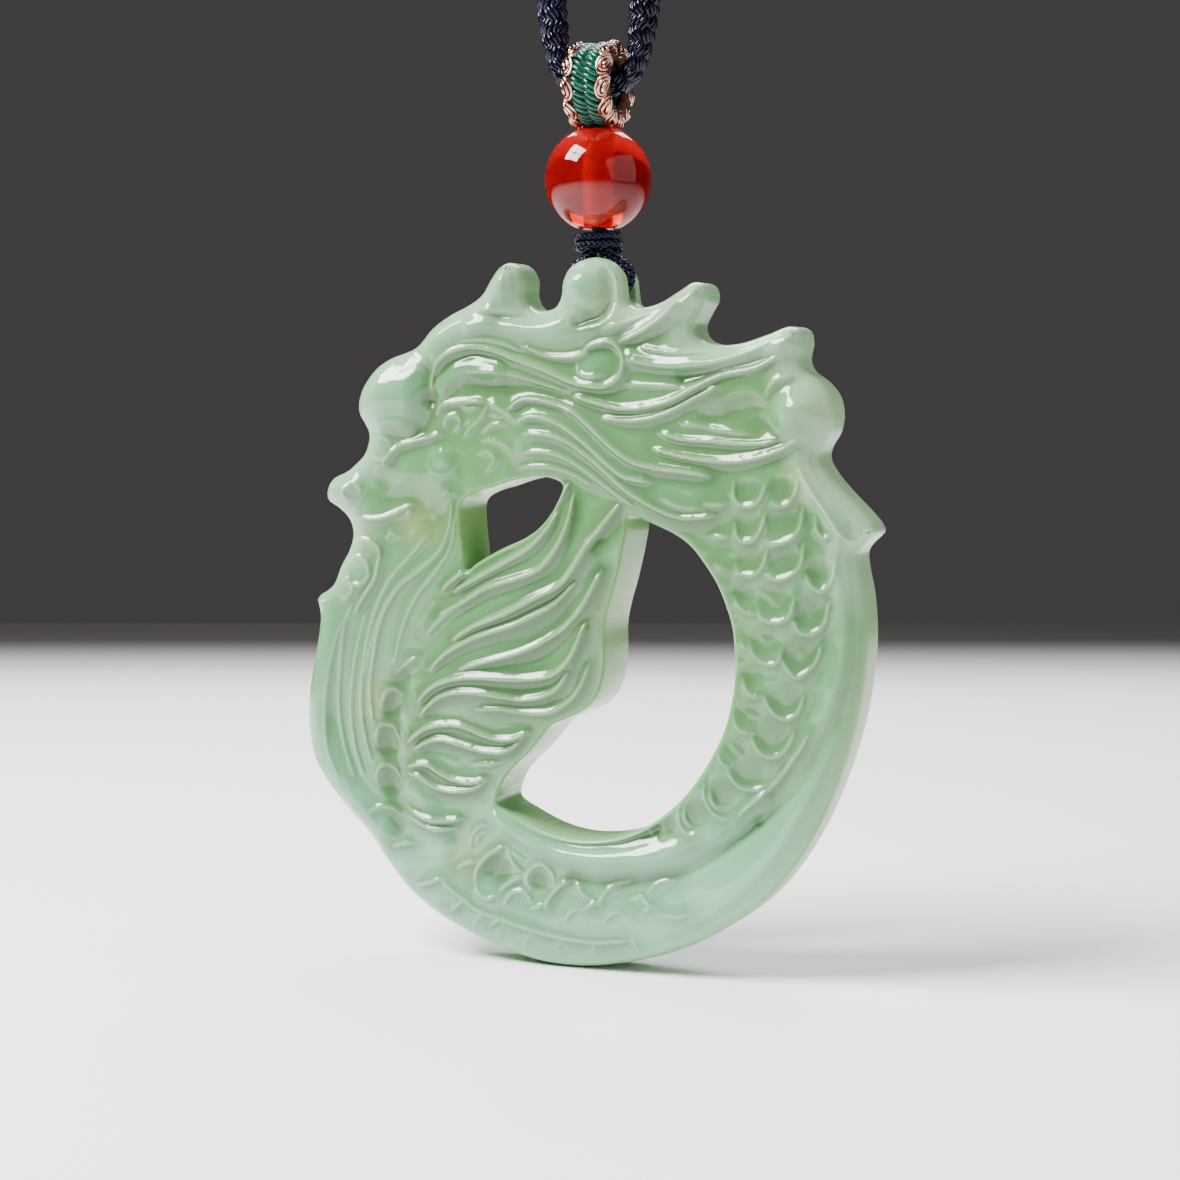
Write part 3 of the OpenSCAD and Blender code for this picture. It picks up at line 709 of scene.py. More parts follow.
# %% Outline and openings
OUTLINE = [
    (-22.7, 36.3), (-22.6, 37.1), (-22.1, 37.8), (-21, 38.3), (-20.2, 38.9), (-19.3, 39.8),
    (-18.9, 41.1), (-19.2, 41.9), (-19.8, 43), (-19.7, 44.3), (-19.1, 45.5), (-18.1, 46.6),
    (-16.9, 47.3), (-15.4, 47.8), (-14.5, 48.3), (-13.3, 49.6), (-11.8, 50.6), (-10.3, 51.3),
    (-9.1, 52.1), (-8.3, 53.3), (-7.6, 54.2), (-6.8, 54.55), (-6, 54.2), (-5.5, 53.3), (-5.5, 52),
    (-5, 51.1), (-4, 50.8), (-2.9, 51.1), (-2.4, 52), (-2.3, 53), (-1.7, 54.1), (-0.5, 54.7),
    (0.6, 54.8), (1.8, 54.4), (2.7, 53.4), (2.9, 52.2), (3.1, 51.3), (4, 50.95), (5.6, 51.3),
    (7.2, 52.2), (8.3, 52.8), (9.2, 52.5), (9.4, 51.5), (8.8, 50.4), (8.4, 49.4), (8.9, 48.5),
    (10.2, 48.1), (12, 48.2), (14, 48.8), (15.7, 49.4), (16.7, 49.1), (16.9, 48.1), (16.7, 47),
    (17.1, 46.1), (18.1, 45.4), (19, 44.3), (19.3, 43), (19.1, 41.6), (18.5, 40.6), (18.3, 39.7),
    (18.8, 38.7), (19.9, 37.4), (21.3, 36), (22.3, 34.9), (22.5, 34.2), (21.9, 33.6), (21.3, 32.8),
    (21.4, 31.5), (21.8, 29.5), (22, 27), (21.9, 24.5), (21.5, 21.5), (20.8, 18.5), (19.8, 15.5),
    (18.4, 12.3), (16.6, 9.2), (14.3, 6.4), (11.5, 4.2), (8.4, 2.4), (5.2, 1.2), (2, 0.4), (-1, 0),
    (-4, 0.1), (-7, 0.8), (-10.2, 1.9), (-13, 3.2), (-15.4, 4.9), (-17.3, 7), (-19, 9.2),
    (-21, 11.2), (-22.7, 13.1), (-24, 15.2), (-24.5, 17.6), (-24.5, 20), (-24.1, 22.5), (-23.6, 25),
    (-23.4, 26.8), (-23.6, 28.2), (-22.9, 28.7), (-22.1, 29.4), (-21.5, 30.8), (-20.7, 32.2),
    (-20.4, 33.5), (-20.8, 34.6), (-21.7, 35.4), (-22.4, 35.8)]
JAW_OPENING = [
    (-10.4, 36.1), (-9, 36.9), (-7.9, 37.2), (-6, 37.8), (-4, 38.1), (-2.8, 38), (-1.9, 37.5),
    (-2.3, 36.3), (-3.1, 35), (-4.1, 34), (-5.2, 33.3), (-6.6, 32.7), (-8, 32), (-9.2, 31.3),
    (-10.1, 30.7), (-10.3, 32.5), (-10.5, 34.3)]
BODY_OPENING = [
    (3.5, 35.3), (5.3, 34.7), (7, 34), (8.4, 33.1), (9.6, 31.7), (10.6, 30.2), (11.3, 28.6),
    (11.8, 27), (12, 25), (12, 23), (11.7, 21), (11.2, 19.2), (10.4, 17.5), (9.4, 15.8),
    (8.1, 14.1), (6.4, 12.5), (4.4, 11.2), (2.2, 10.4), (0, 10.1), (-2, 10.2), (-4, 10.7),
    (-6, 11.6), (-7.5, 12.5), (-7.3, 13.7), (-6.8, 14.7), (-5.9, 15.7), (-4.8, 16.7), (-3.8, 17.9),
    (-2.9, 18.9), (-1.6, 19.5), (-0.2, 20.2), (0.8, 21.2), (1.4, 22.7), (1.6, 24.7), (1.6, 26.7),
    (1.9, 28.3), (2.4, 30), (2.9, 32), (3.3, 34)]
rims = [smooth_line(loop, 0.35, closed=True) for loop in (OUTLINE, JAW_OPENING, BODY_OPENING)]
print("rim points", [len(rim) for rim in rims])

# %% Slab, pulled from the flat shape and given an even mesh
HALF_SLAB = 2.8
MESH_STEP = 0.15
# The tool that grinds the knob's groove: its radius, the middle of the round that it works on,
# and how far out it is moved in turn
TOOL_R, KNOB_MIDDLE, TOOL_MOVES = 0.82, (0.2, 1.2), (0, 0.5, 1.0, 1.6)


def settle(piece):
    """Makes a piece's modifiers part of its mesh."""
    data = settled(piece)
    piece.modifiers.clear()
    piece.data = data


def remesh(piece, step):
    modifier = piece.modifiers.new("even_mesh", "REMESH")
    modifier.mode, modifier.voxel_size, modifier.use_smooth_shade = "VOXEL", step, True
    settle(piece)


def flat_slab():
    """The outline with its two openings, filled and pulled to the slab's thickness."""
    mesh = bmesh.new()
    for rim in rims:
        closed_edges(mesh, [(x, -HALF_SLAB, z) for x, z in rim])
    bmesh.ops.triangle_fill(mesh, edges=mesh.edges[:], use_beauty=True)
    pulled = bmesh.ops.extrude_face_region(mesh, geom=mesh.faces[:])["geom"]
    bmesh.ops.translate(mesh, vec=(0, 2 * HALF_SLAB, 0),
        verts=[v for v in pulled if isinstance(v, bmesh.types.BMVert)])
    bmesh.ops.recalc_face_normals(mesh, faces=mesh.faces[:])
    return from_bmesh("jade_carving", mesh)


def knob_cutter():
    """The hole through the knob and the groove round it, as round tools side by side. The jade is
    worked at 1 unit to the mm until it is done, so the tool is made 1000 times as large."""
    hole_z = BORE_Z - JADE_Z
    lines = [np.array([(-3.2, 0, hole_z), (3.2, 0, hole_z)])]
    for side in (-1, 1):
        bend = [(x, z) for x, z in LOOP_ROUTE if 0 < z < 3 and x * side > 0]
        bend = smooth_line(bend if side > 0 else bend[::-1], 0.3)
        away = bend - KNOB_MIDDLE
        away /= lengths(away)
        for offset in TOOL_MOVES:
            flat = bend + away * offset
            lines.append(np.stack([flat[:, 0], 0 * flat[:, 0], flat[:, 1] + hole_z], 1))
    tool = thread_piece("knob_cutter", [line / MM for line in lines], TOOL_R / MM, sides=14)
    remesh(tool, 0.12)
    return tool


jade = flat_slab()
cutter = knob_cutter()
cut = jade.modifiers.new("cut", "BOOLEAN")
cut.operation, cut.solver, cut.object = "DIFFERENCE", "EXACT", cutter
settle(jade)
bpy.data.objects.remove(cutter)
remesh(jade, MESH_STEP)
print("blank faces", len(jade.data.polygons))

# %% [markdown]
# Distances
#
# Both the rounding of the rims and the carving need one measure: how far a point of the face lies
# from a drawn line, and where the nearest point of that line is.

# %% Distance from a line
def nearest_on_line(points, line, closed=False):
    """For each point: its distance from the line, the nearest point, its segment and the place
    along the line from 0 to 1."""
    ends = np.vstack([line, line[:1]]) if closed else line
    a, ab = ends[:-1], np.diff(ends, axis=0)
    square = (ab ** 2).sum(1)
    distance, nearest = np.empty(len(points)), np.empty_like(points)
    segment, along = np.empty(len(points), int), np.empty(len(points))
    run = np.concatenate([[0], np.cumsum(np.sqrt(square))])
    for start in range(0, len(points), 4000):
        part = points[start:start + 4000]
        offset = part[:, None] - a
        t = np.clip((offset * ab).sum(2) / square, 0, 1)
        foot = a + t[..., None] * ab
        gap = ((part[:, None] - foot) ** 2).sum(2)
        best = gap.argmin(1)
        rows = np.arange(len(part))
        here = slice(start, start + len(part))
        distance[here] = np.sqrt(gap[rows, best])
        nearest[here] = foot[rows, best]
        segment[here] = best
        along[here] = (run[best] + t[rows, best] * np.sqrt(square[best])) / run[-1]
    return distance, nearest, segment, along


def inside_loop(points, loop):
    """Which points lie inside a closed loop."""
    crossings = np.zeros(len(points), int)
    for (ax, az), (bx, bz) in zip(loop, np.roll(loop, -1, axis=0)):
        spans = (points[:, 1] < az) != (points[:, 1] < bz)
        with np.errstate(divide="ignore", invalid="ignore"):
            crossing_x = ax + (points[:, 1] - az) * (bx - ax) / (bz - az)
        crossings += spans & (points[:, 0] < crossing_x)
    return crossings % 2 == 1


# Beyond this depth the way inwards is that from the nearest rim point
NEAR_RIM = 0.25


def rim_field(flat):
    """Depth inside the nearest rim, the nearest rim point, the way inwards and which rim it is."""
    best = np.full(len(flat), np.inf)
    nearest, inward = np.zeros_like(flat), np.zeros_like(flat)
    which, inside = np.zeros(len(flat), int), np.ones(len(flat), bool)
    for k, rim in enumerate(rims):
        distance, foot, segment, _ = nearest_on_line(flat, rim, closed=True)
        along = np.roll(rim, -1, axis=0) - rim
        normal = np.stack([along[:, 1], -along[:, 0]], 1)
        normal /= lengths(normal)
        normal = normal if k == 0 else -normal
        closer = distance < best
        best[closer], nearest[closer] = distance[closer], foot[closer]
        inward[closer], which[closer] = normal[segment[closer]], k
        within = inside_loop(flat, rim)
        inside &= within if k == 0 else ~within
    depth = np.where(inside, best, -best)
    away = flat - nearest
    far = depth > NEAR_RIM
    inward[far] = away[far] / depth[far][:, None]
    return depth, nearest, inward, which


coords = np.empty(len(jade.data.vertices) * 3)
jade.data.vertices.foreach_get("co", coords)
coords = coords.reshape(-1, 3)
depth, rim_foot, inward, which_rim = rim_field(coords[:, [0, 2]])
print("depth of", len(coords), "points, deepest", round(float(depth.max()), 2))

# %% [markdown]
# Rounded rims
#
# A bevel would meet itself at the thin tips of the locks. Instead each point near a rim is moved on
# to a rounded corner, by its share of the way to the wall and to the face. The outer rim is worn
# rounder than the two openings, whose walls still show sawn.

# %% Round the rims
# Radius of the outer rim and of the two openings' rims
RIM_ROUND = np.array([1.7, 0.45, 0.5])


def round_rims(points):
    """The moved points, and how far each lies on the face, from 0 on a wall to 1."""
    radius = RIM_ROUND[which_rim]
    side = np.sign(points[:, 1])
    to_wall = np.clip(1 - depth / radius, 0, None)
    to_face = np.clip((np.abs(points[:, 1]) - (HALF_SLAB - radius)) / radius, 0, None)
    length = np.maximum(np.hypot(to_wall, to_face), 1e-6)
    wall_share, face_share = to_wall / length, to_face / length
    moved = points.copy()
    near = (to_wall > 0) & (to_face > 0)
    new_flat = rim_foot + inward * (radius * (1 - wall_share))[:, None]
    moved[near, 0], moved[near, 2] = new_flat[near, 0], new_flat[near, 1]
    faced = to_face > 0
    moved[faced, 1] = (side * (HALF_SLAB - radius + radius * face_share))[faced]
    return moved, face_share


coords, face_share = round_rims(coords)
print("points on the faces", int((face_share > 0.99).sum()))

# %% [markdown]
# The carving
#
# A jade carver first sets the large forms, such as the brow, the curls and the round body, and then
# grinds channels with a small wheel, which leaves crisp crests between them. The same order is kept
# here. Swells are soft rises and hollows along a line, and crests are thin ridges with a sharp top.
# Both change the height of the face alone, front and back. A part that is below 0 is a hollow.

# %% Swells: the large forms
# Columns: height, half width and the line's points
SWELLS = [
    # forehead, snout, nose and cheek
    (0.75, 3.2, [(-16.6, 44.2), (-15.2, 44.3)]),
    (0.5, 1.7, [(-21, 37.2), (-20.4, 37)]),
    (0.3, 1.3, [(-17.3, 40.3), (-17.1, 40.1)]),
    (0.3, 0.9, [(-17.2, 41.9), (-16, 42.1), (-14.8, 41.8)]),
    (0.3, 1.4, [(-12.1, 39.5), (-11.9, 39.4)]),
    (0.2, 2.6, [(-15, 38.2), (-12.5, 37.6)]),
    (-0.2, 2, [(-16.8, 36.8), (-14, 36.6), (-12.8, 35)]),
    (-0.3, 1.5, [(-14, 41.9), (-13.2, 43.6)]),
    # horn, brow band, hollow under the crescent lock and the knob
    (0.4, 1.8, [(-7, 53), (-7, 52)]),
    (0.5, 1.9, [(-15, 47), (-12, 49), (-8.6, 50.6)]),
    (0.3, 1.4, [(-12, 47.2), (-9, 49), (-5, 48.9), (-1, 49), (2, 50)]),
    (0.5, 1.1, [(-11.9, 45), (-11, 46), (-9.4, 46.5), (-7.4, 46.2)]),
    (-0.2, 1.3, [(-9, 45), (-5, 44.8), (-2, 44)]),
    (-0.35, 0.8, [(-14.9, 48.2), (-14.4, 47.2), (-13.3, 46.7), (-12.9, 45.4), (-13, 44)]),
    (0.45, 1.9, [(1, 46.4), (0.8, 46.5)]),
    (0.75, 2.5, [(-0.4, 52.6), (-0.2, 51.8)]),
    (-0.5, 0.8, [(1.7, 54.3), (2, 52.4), (1.4, 50.6), (-0.4, 50)]),
    # locks and the curl ball with its hollow
    (0.3, 1.2, [(8.8, 52), (7.4, 51)]),
    (0.35, 1.2, [(16, 48.5), (14.6, 48)]),
    (-0.12, 1.1, [(4.4, 48.4), (6.8, 49), (8.2, 50.4)]),
    (0.38, 0.9, [(3.8, 47.2), (6, 46.8), (8.5, 46.8), (11, 47.2), (13.4, 48)]),
    (0.36, 0.85, [(-9.4, 49.6), (-8, 49.8), (-5, 49.6), (-2.6, 49.8), (-0.6, 50.4)]),
    (-0.3, 1, [(8, 45.7), (11.6, 46.2), (14.6, 47.2)]),
    (1.1, 2.4, [(16.8, 43.1), (16.7, 42.9)]),
    (-0.25, 1.6, [(12.4, 43.3), (14.2, 42.5)]),
    (-0.2, 1.3, [(10, 42.6), (13, 43.6)]),
    (0.3, 2.2, [(17.6, 40), (18.6, 37.6)]),
    (0.35, 3.4, [(-4, 41.5), (1, 40.6), (5, 37.6), (9, 37)]),
    # body, its soft band and the smooth belly
    (0.4, 4.4, [(14.8, 37), (16, 32), (16.2, 27.5), (15.6, 23), (13.4, 18.4), (10.4, 15)]),
    (0.3, 1.3, [(19.6, 36), (20.3, 32.6), (20.5, 29), (20.3, 26), (19.7, 23), (18.7, 20.2),
        (17.2, 17.4)]),
    (-0.16, 0.6, [(21.3, 32), (21.4, 28.5), (21.2, 25.5), (20.6, 22.4), (19.6, 19.4), (18.2, 16.8),
        (16.4, 14.4), (14, 12.4)]),
    (0.47, 1.05, [(14.4, 14.2), (13, 12.9), (11, 11.6), (9, 10.7), (7, 9.8), (5, 9.2), (3, 8.85),
        (1, 8.8), (-1, 8.85), (-2.5, 9.1), (-4, 9.6), (-5.5, 10.3), (-7.2, 11.6)]),
    (-0.22, 0.8, [(14, 12.5), (12, 10.8), (8.6, 8.6), (5.4, 7.6), (2.2, 7.1), (-1, 7.2)]),
    (0.35, 3, [(20.2, 18), (17.4, 12.4), (13.4, 8), (8.4, 5), (2.4, 3.6), (-5, 3.6), (-12, 5.6)]),
    (-0.5, 1, [(-6.8, 12.3), (-4.8, 11), (-2.2, 10.2), (0.4, 10), (3, 10.3), (5.6, 11.2)]),
    # fin, beard and the left band
    (0.5, 5, [(-9.5, 22), (-7, 27), (-3, 32)]),
    (-0.3, 1.2, [(-15.6, 22.4), (-16.6, 18), (-16.2, 12)]),
    (0.4, 1.6, [(-21.8, 26), (-22.8, 21), (-22.6, 17.6), (-20.4, 13.2), (-17.4, 9.6)]),
    (0.3, 2, [(0.6, 32), (0, 27), (-1.4, 22.6)]),
    (0.3, 1.5, [(-14, 13), (-12, 9)])]

# %% Crests: the thin lines
# Columns: height, half width and then one or more lines of that size, each a list of points
CREST_ROWS = [
    # eye, nose, cheek and mouth
    (0.4, 0.4, [(-12.5, 42.8), (-12, 43.5), (-11, 43.75), (-9.5, 43.85), (-8.2, 43.9)]),
    (0.35, 0.4, [(-8.2, 43.9), (-7.2, 43.3), (-6.1, 42.7), (-5.7, 42.3)]),
    (0.25, 0.3, [(-10.4, 43.5), (-9.4, 43.3), (-8.6, 43.5)], [(-7.9, 42.9), (-6.8, 42.6)]),
    (0.3, 0.3, [(-11.75, 41.9), (-11.7, 42.3), (-11.4, 42.65), (-10.8, 42.75), (-10.4, 42.4),
        (-10.5, 41.9), (-11, 41.6)]),
    (0.25, 0.3, [(-10.1, 42.1), (-9.6, 42.3), (-9.2, 42.7)],
        [(-8.1, 43.7), (-8.5, 42.7), (-9.4, 41.9), (-10.1, 41.2)],
        [(-8.6, 41.5), (-7.6, 42), (-6.6, 42.2)],
        [(-8.6, 40.9), (-7.6, 40.8), (-6.6, 40.5), (-6, 40)]),
    (0.2, 0.3, [(-8.9, 39.9), (-7.9, 39.9), (-7.5, 39.3), (-8.2, 38.5)]),
    (0.4, 0.4, [(-17.4, 38.7), (-16.6, 39.5), (-15.7, 40.3), (-14.6, 40.65), (-13, 41.1),
        (-11.9, 41.35)]),
    (0.25, 0.3, [(-18.3, 40.8), (-18.2, 39.9), (-17.7, 39.4), (-17, 39.4), (-16.5, 39.6)],
        [(-17.7, 40.9), (-17, 41.05), (-16.5, 40.7), (-16.5, 40.3)],
        [(-18, 39), (-17.6, 38.7), (-17.1, 38.8)]),
    (0.3, 0.35, [(-20.4, 37.2), (-20.5, 36.6), (-20.2, 36.1), (-19.7, 36)]),
    (0.25, 0.3, [(-20.1, 37.5), (-19.4, 37.4), (-19.1, 36.9), (-19.3, 36.4)]),
    (0.2, 0.35, [(-13.2, 39), (-12.8, 38.4), (-12, 38.1), (-11.1, 38.3), (-10.7, 38.9)]),
    (0.35, 0.45, [(-19.5, 34.7), (-17.5, 34.6), (-16, 35.1), (-14.6, 35.8)]),
    (0.4, 0.45, [(-20, 33), (-18.6, 32.9), (-17.5, 32.2), (-17.6, 30.9), (-17.9, 29.8),
        (-18.8, 28.5), (-19.7, 27.2)]),
    (0.35, 0.4, [(-20.4, 31.2), (-19.6, 31.6), (-18.6, 31.1), (-18.5, 30), (-19.4, 29.3),
        (-20.3, 29.7)]),
    (0.3, 0.35, [(-21.2, 29.4), (-20.4, 29.8), (-19.9, 29), (-20.4, 28.3), (-21.1, 28.5)],
        [(-16.9, 33.1), (-16.4, 33.5), (-15.9, 33.3)]),
    (0.25, 0.3, [(-15.2, 34.9), (-14.6, 35.7)]),
    (0.3, 0.35, [(-11.9, 36.5), (-11.5, 36.8), (-11.1, 36.6)]),
    # under the horn and knob, and the crescent lock with its curl
    (0.3, 0.35, [(-8.6, 51), (-7, 50.8), (-4.5, 50.6), (-1.6, 50.9)]),
    (0.6, 0.8, [(-12.9, 44.6), (-12.7, 46.1), (-11.6, 47.3), (-9.7, 48), (-7.8, 47.8), (-5.8, 47.1),
        (-3.2, 46.2), (-1.3, 45.4), (0.3, 45), (1.9, 45), (3, 45.9), (3.1, 47.3), (2.2, 48.3),
        (0.7, 48.1), (-0.3, 47.5)]),
    (0.3, 0.4, [(-10.5, 48.4), (-8.5, 48.6), (-6.5, 48.2), (-5, 47.6)]),
    (0.45, 0.5, [(-5.2, 48.1), (-3, 47.3), (-1, 47.2), (0.6, 47.7)]),
    (0.4, 0.45, [(-0.6, 46.9), (-0.4, 46), (0.5, 45.7), (1.5, 45.9)]),
    (0.3, 0.4, [(-9.6, 46.1), (-6.6, 46), (-3.6, 45.2), (-1.2, 44.5)]),
    # locks of the mane, swept back
    (0.6, 0.7, [(-6.4, 43.2), (-5, 44), (-3, 43.8), (-1, 43.1), (0.5, 42), (2.2, 40.5), (4, 39.3),
        (6, 38.8), (8, 38.6), (10.2, 38.3)]),
    (0.5, 0.6, [(-5.7, 42.3), (-4, 42.7), (-2, 42.1), (0, 40.8), (2, 39.1), (3.5, 38.1),
        (5.5, 37.8)], [(-5, 41.4), (-3, 41.3), (-1, 40.6), (1, 39.2), (3, 37.5), (4.5, 36.5),
        (6.5, 35.5), (8, 35.1), (9.5, 35.2), (10.6, 35.4)]),
    (0.4, 0.5, [(-5, 39.9), (-3.5, 40), (-1.5, 39.5), (0.5, 38.3), (2.5, 36.9), (4.3, 35.8)]),
    (0.35, 0.45, [(-5.4, 38.8), (-3, 38.8), (-1, 38.3), (0.8, 37.4)]),
    (0.3, 0.4, [(6.3, 36.6), (8, 35.9), (9.6, 35.9)]),
    (0.6, 0.7, [(-1, 44.3), (1, 43.7), (3, 43.3), (5, 43.4), (7, 43.9), (9, 44.9), (11, 45.8),
        (13.5, 46.3), (15.4, 47.2)]),
    (0.45, 0.5, [(1.4, 42.6), (3, 42.4), (5, 42.5), (7, 43.1), (9, 44.1), (10.8, 45)]),
    (0.35, 0.5, [(3.4, 47), (6, 46.5), (8.5, 46.5), (11, 46.9), (13.5, 47.7), (15.2, 48.6)]),
    (0.35, 0.45, [(4.4, 47.9), (7, 47.5), (9.6, 47.6), (12, 48)]),
    (0.3, 0.4, [(3.3, 45.2), (5.5, 45), (8, 44.9), (10, 45.2)]),
    (0.6, 0.7, [(2.7, 48.3), (4.5, 49), (6.2, 50.1), (7.6, 51.5)]),
    (0.4, 0.5, [(1.6, 49.3), (3.6, 49.9), (5.6, 50.8), (7.6, 52)]),
    (0.5, 0.6, [(6, 41.5), (8, 41), (10, 40.9), (12, 40.7), (14, 40.7), (15.6, 41.1)]),
    (0.55, 0.7, [(5.5, 40.3), (8, 39.7), (10.5, 39.4), (13, 39.5), (15.5, 40.2), (17.2, 41.3)]),
    (0.3, 0.4, [(7.6, 42.2), (9.4, 42), (11.4, 41.6), (13.4, 41.4)]),
    (0.4, 0.5, [(14.4, 44.6), (15.4, 45.5), (16.8, 45.7)]),
    # spike on the back
    (0.4, 0.7, [(18, 39.4), (19.4, 37.6), (21, 35.6), (22.1, 34.3)]),
    (0.35, 0.6, [(17, 39), (18.4, 36.8), (20.4, 34), (21.6, 33.4)]),
    # beard
    (0.3, 0.51, [(-11.2, 36), (-11.4, 34), (-12.2, 32.2), (-14, 30.6), (-16, 29), (-17.4, 26.5),
        (-18, 24), (-18.4, 21), (-18.1, 18)]),
    (0.24, 0.42, [(-10.9, 34.9), (-11.3, 32.5), (-12.6, 30.5), (-14.3, 28.5), (-15.5, 26),
        (-16.3, 23)]),
    (0.27, 0.47, [(-13.2, 33.5), (-15, 31.5), (-16.6, 29.8), (-18, 27), (-18.8, 24), (-19.2, 20),
        (-18.8, 17), (-18.2, 15)]),
    (0.24, 0.42, [(-19.9, 28), (-20.6, 26), (-21, 23), (-21.2, 20), (-20.8, 17), (-19.8, 14)]),
    (0.21, 0.38, [(-20.5, 27), (-21.3, 25), (-22, 22), (-22.3, 19), (-22, 16), (-21, 13.5)]),
    (0.24, 0.42, [(-18.7, 27.2), (-19.6, 24), (-20.1, 20), (-19.8, 16.6), (-18.9, 13.8)]),
    (0.21, 0.38, [(-16.9, 28.4), (-18.2, 25), (-18.9, 22)]),
    # flames of the tail fin, from the top
    (0.6, 0.7, [(-12, 29.2), (-10.5, 30.3), (-8.5, 31.6), (-6, 32.9), (-4, 34), (-2.8, 35.3),
        (-1.9, 36.6), (-1.3, 37.6)]),
    (0.5, 0.55, [(-11, 29.1), (-8.8, 30.2), (-6.5, 31.4), (-4.4, 32.6), (-3, 34), (-2.1, 35.5)]),
    (0.55, 0.65, [(-12.3, 27.2), (-10.5, 28), (-8, 29.4), (-5.5, 30.2), (-3.5, 31), (-2, 32.8),
        (-1.2, 34.8), (-0.9, 36.8)]),
    (0.35, 0.45, [(-13.4, 25.6), (-12, 26.9), (-10.2, 28.2)]),
    (0.65, 0.8, [(-11, 25.3), (-9, 26.4), (-6.5, 27.4), (-4, 28.7), (-2, 29.7), (-0.8, 31),
        (0.6, 33.2), (2, 35), (3, 36.2)]),
    (0.55, 0.65, [(-13, 22.9), (-11.5, 24.2), (-9, 25.5), (-6, 26.5), (-4, 27.4), (-2.3, 28.4),
        (-0.5, 30.2)], [(-10.5, 23), (-8, 23.7), (-5.5, 24.4), (-3.5, 25.3), (-1.5, 26.6),
        (0, 28.3), (1.5, 31)]),
    (0.65, 0.8, [(-14.2, 20.2), (-13, 21.3), (-11.5, 22), (-9.5, 22.4), (-7, 22.4), (-5, 22.4),
        (-3, 22.7), (-1.6, 23.5), (-0.6, 25), (0.2, 27)]),
    (0.55, 0.6, [(-14, 19.2), (-12.5, 20.5), (-11, 21.1), (-9, 21.2), (-7, 21), (-5.2, 20.8),
        (-3.5, 21.1), (-2, 22), (-1.1, 23.5)]),
    (0.4, 0.5, [(-9, 19.9), (-7, 20), (-5, 19.8), (-3, 19.9), (-1.5, 20.7), (-0.3, 22), (0.5, 24)]),
    (0.6, 0.75, [(-15, 17.1), (-13.5, 18.1), (-12, 18.5), (-10.3, 18.5), (-8.5, 17.9), (-7.3, 17.6),
        (-6, 17.7), (-4.7, 18.3)]),
    (0.55, 0.6, [(-14.5, 16.5), (-13, 17.2), (-11.8, 17.3), (-10, 16.9), (-8.5, 16.6), (-7, 16.6),
        (-5.9, 17.1), (-5.2, 17.8)]),
    (0.3, 0.4, [(-9.5, 15.5), (-8, 15.6), (-7, 15.9)]),
    (0.55, 0.65, [(-15, 15.1), (-13.5, 15.3), (-12.3, 14.7), (-11, 14.2), (-9.5, 14.1),
        (-8.2, 14.5)]),
    (0.5, 0.5, [(-15, 14.5), (-14, 14.3), (-12.8, 13.6), (-11.5, 13.3), (-10.2, 13.4), (-9, 13.8),
        (-8.3, 14.3)]),
    (0.5, 0.6, [(-15, 11.8), (-14, 11.2), (-12.5, 10.9), (-11.3, 11), (-10.3, 11.2)]),
    (0.4, 0.45, [(-15, 11.1), (-13.8, 10.5), (-12.5, 10.2), (-11, 10.4)]),
    # upper end of the rim that parts the scales from the smooth back
    (0.35, 0.5, [(12.6, 13), (14, 14.2), (15, 15.1), (15.8, 16), (16.6, 17.1), (17.4, 18.2),
        (18, 19.3)]),
    # line round the bottom, its cross lines and the short cuts beside it
    (0.3, 0.35, [(-12.1, 6.3), (-11.3, 5.6), (-10, 4.8), (-9, 4.1), (-7.8, 3.7), (-6.9, 3.5),
        (-5.8, 3.2), (-4.5, 2.9), (-3.4, 2.7), (-2, 2.5), (-0.5, 2.35), (1, 2.3), (2.5, 2.5),
        (3.6, 2.7)]),
    (0.16, 0.3, [(-8.6, 3.9), (-9.3, 2.9), (-9.7, 2.3)], [(-4.4, 2.8), (-4.9, 1.8), (-5.2, 1.1)],
        [(-1.9, 2.4), (-2.3, 1.4), (-2.5, 0.9)], [(0.8, 2.3), (0.8, 1)], [(4, 2.8), (4.4, 1.5)],
        [(-6.8, 3.4), (-7.2, 2.5), (-7.6, 1.7)]),
    (0.32, 0.35, [(-16.4, 8.6), (-15.5, 8.85), (-14.5, 9)], [(-14.4, 5.6), (-13, 6), (-11.9, 6.4)],
        [(-11.3, 3.9), (-10.6, 4.4), (-9.9, 5)], [(-8, 2.9), (-7.2, 3.4), (-6.6, 3.6)],
        [(-10.8, 7.3), (-9.9, 7.7), (-9, 7.9)]),
    (0.3, 0.35, [(-18.3, 11.4), (-17.4, 11.75), (-16.5, 11.6), (-15.9, 11.2)]),
    (0.35, 0.4, [(-16.3, 22.3), (-15.2, 23.2), (-14, 23.8)]),
    # net of scales on the bottom
    (0.38, 0.4, [(-9.2, 6.2), (-9.1, 7.2), (-8.4, 8.2), (-7.6, 8.8), (-6.6, 9.3)]),
    (0.3, 0.4, [(-6.6, 9.3), (-6.2, 8.3), (-5.6, 7.5), (-5, 7.1)]),
    (0.28, 0.35, [(-9.2, 6.2), (-8.9, 5.5), (-8.4, 5.1), (-7.8, 5.05), (-7.2, 5.4)]),
    (0.34, 0.35, [(-7.1, 5.8), (-6.6, 6.2), (-5.8, 6.7), (-5, 7)]),
    (0.25, 0.35, [(-9.7, 8.8), (-9.5, 9.9), (-9, 10.5), (-8.2, 10.9)]),
    (0.22, 0.3, [(-9.2, 9.2), (-9, 9.9), (-8.4, 10.3)]),
    (0.22, 0.35, [(-6.4, 9), (-5.6, 8.5), (-4.9, 8.2)]),
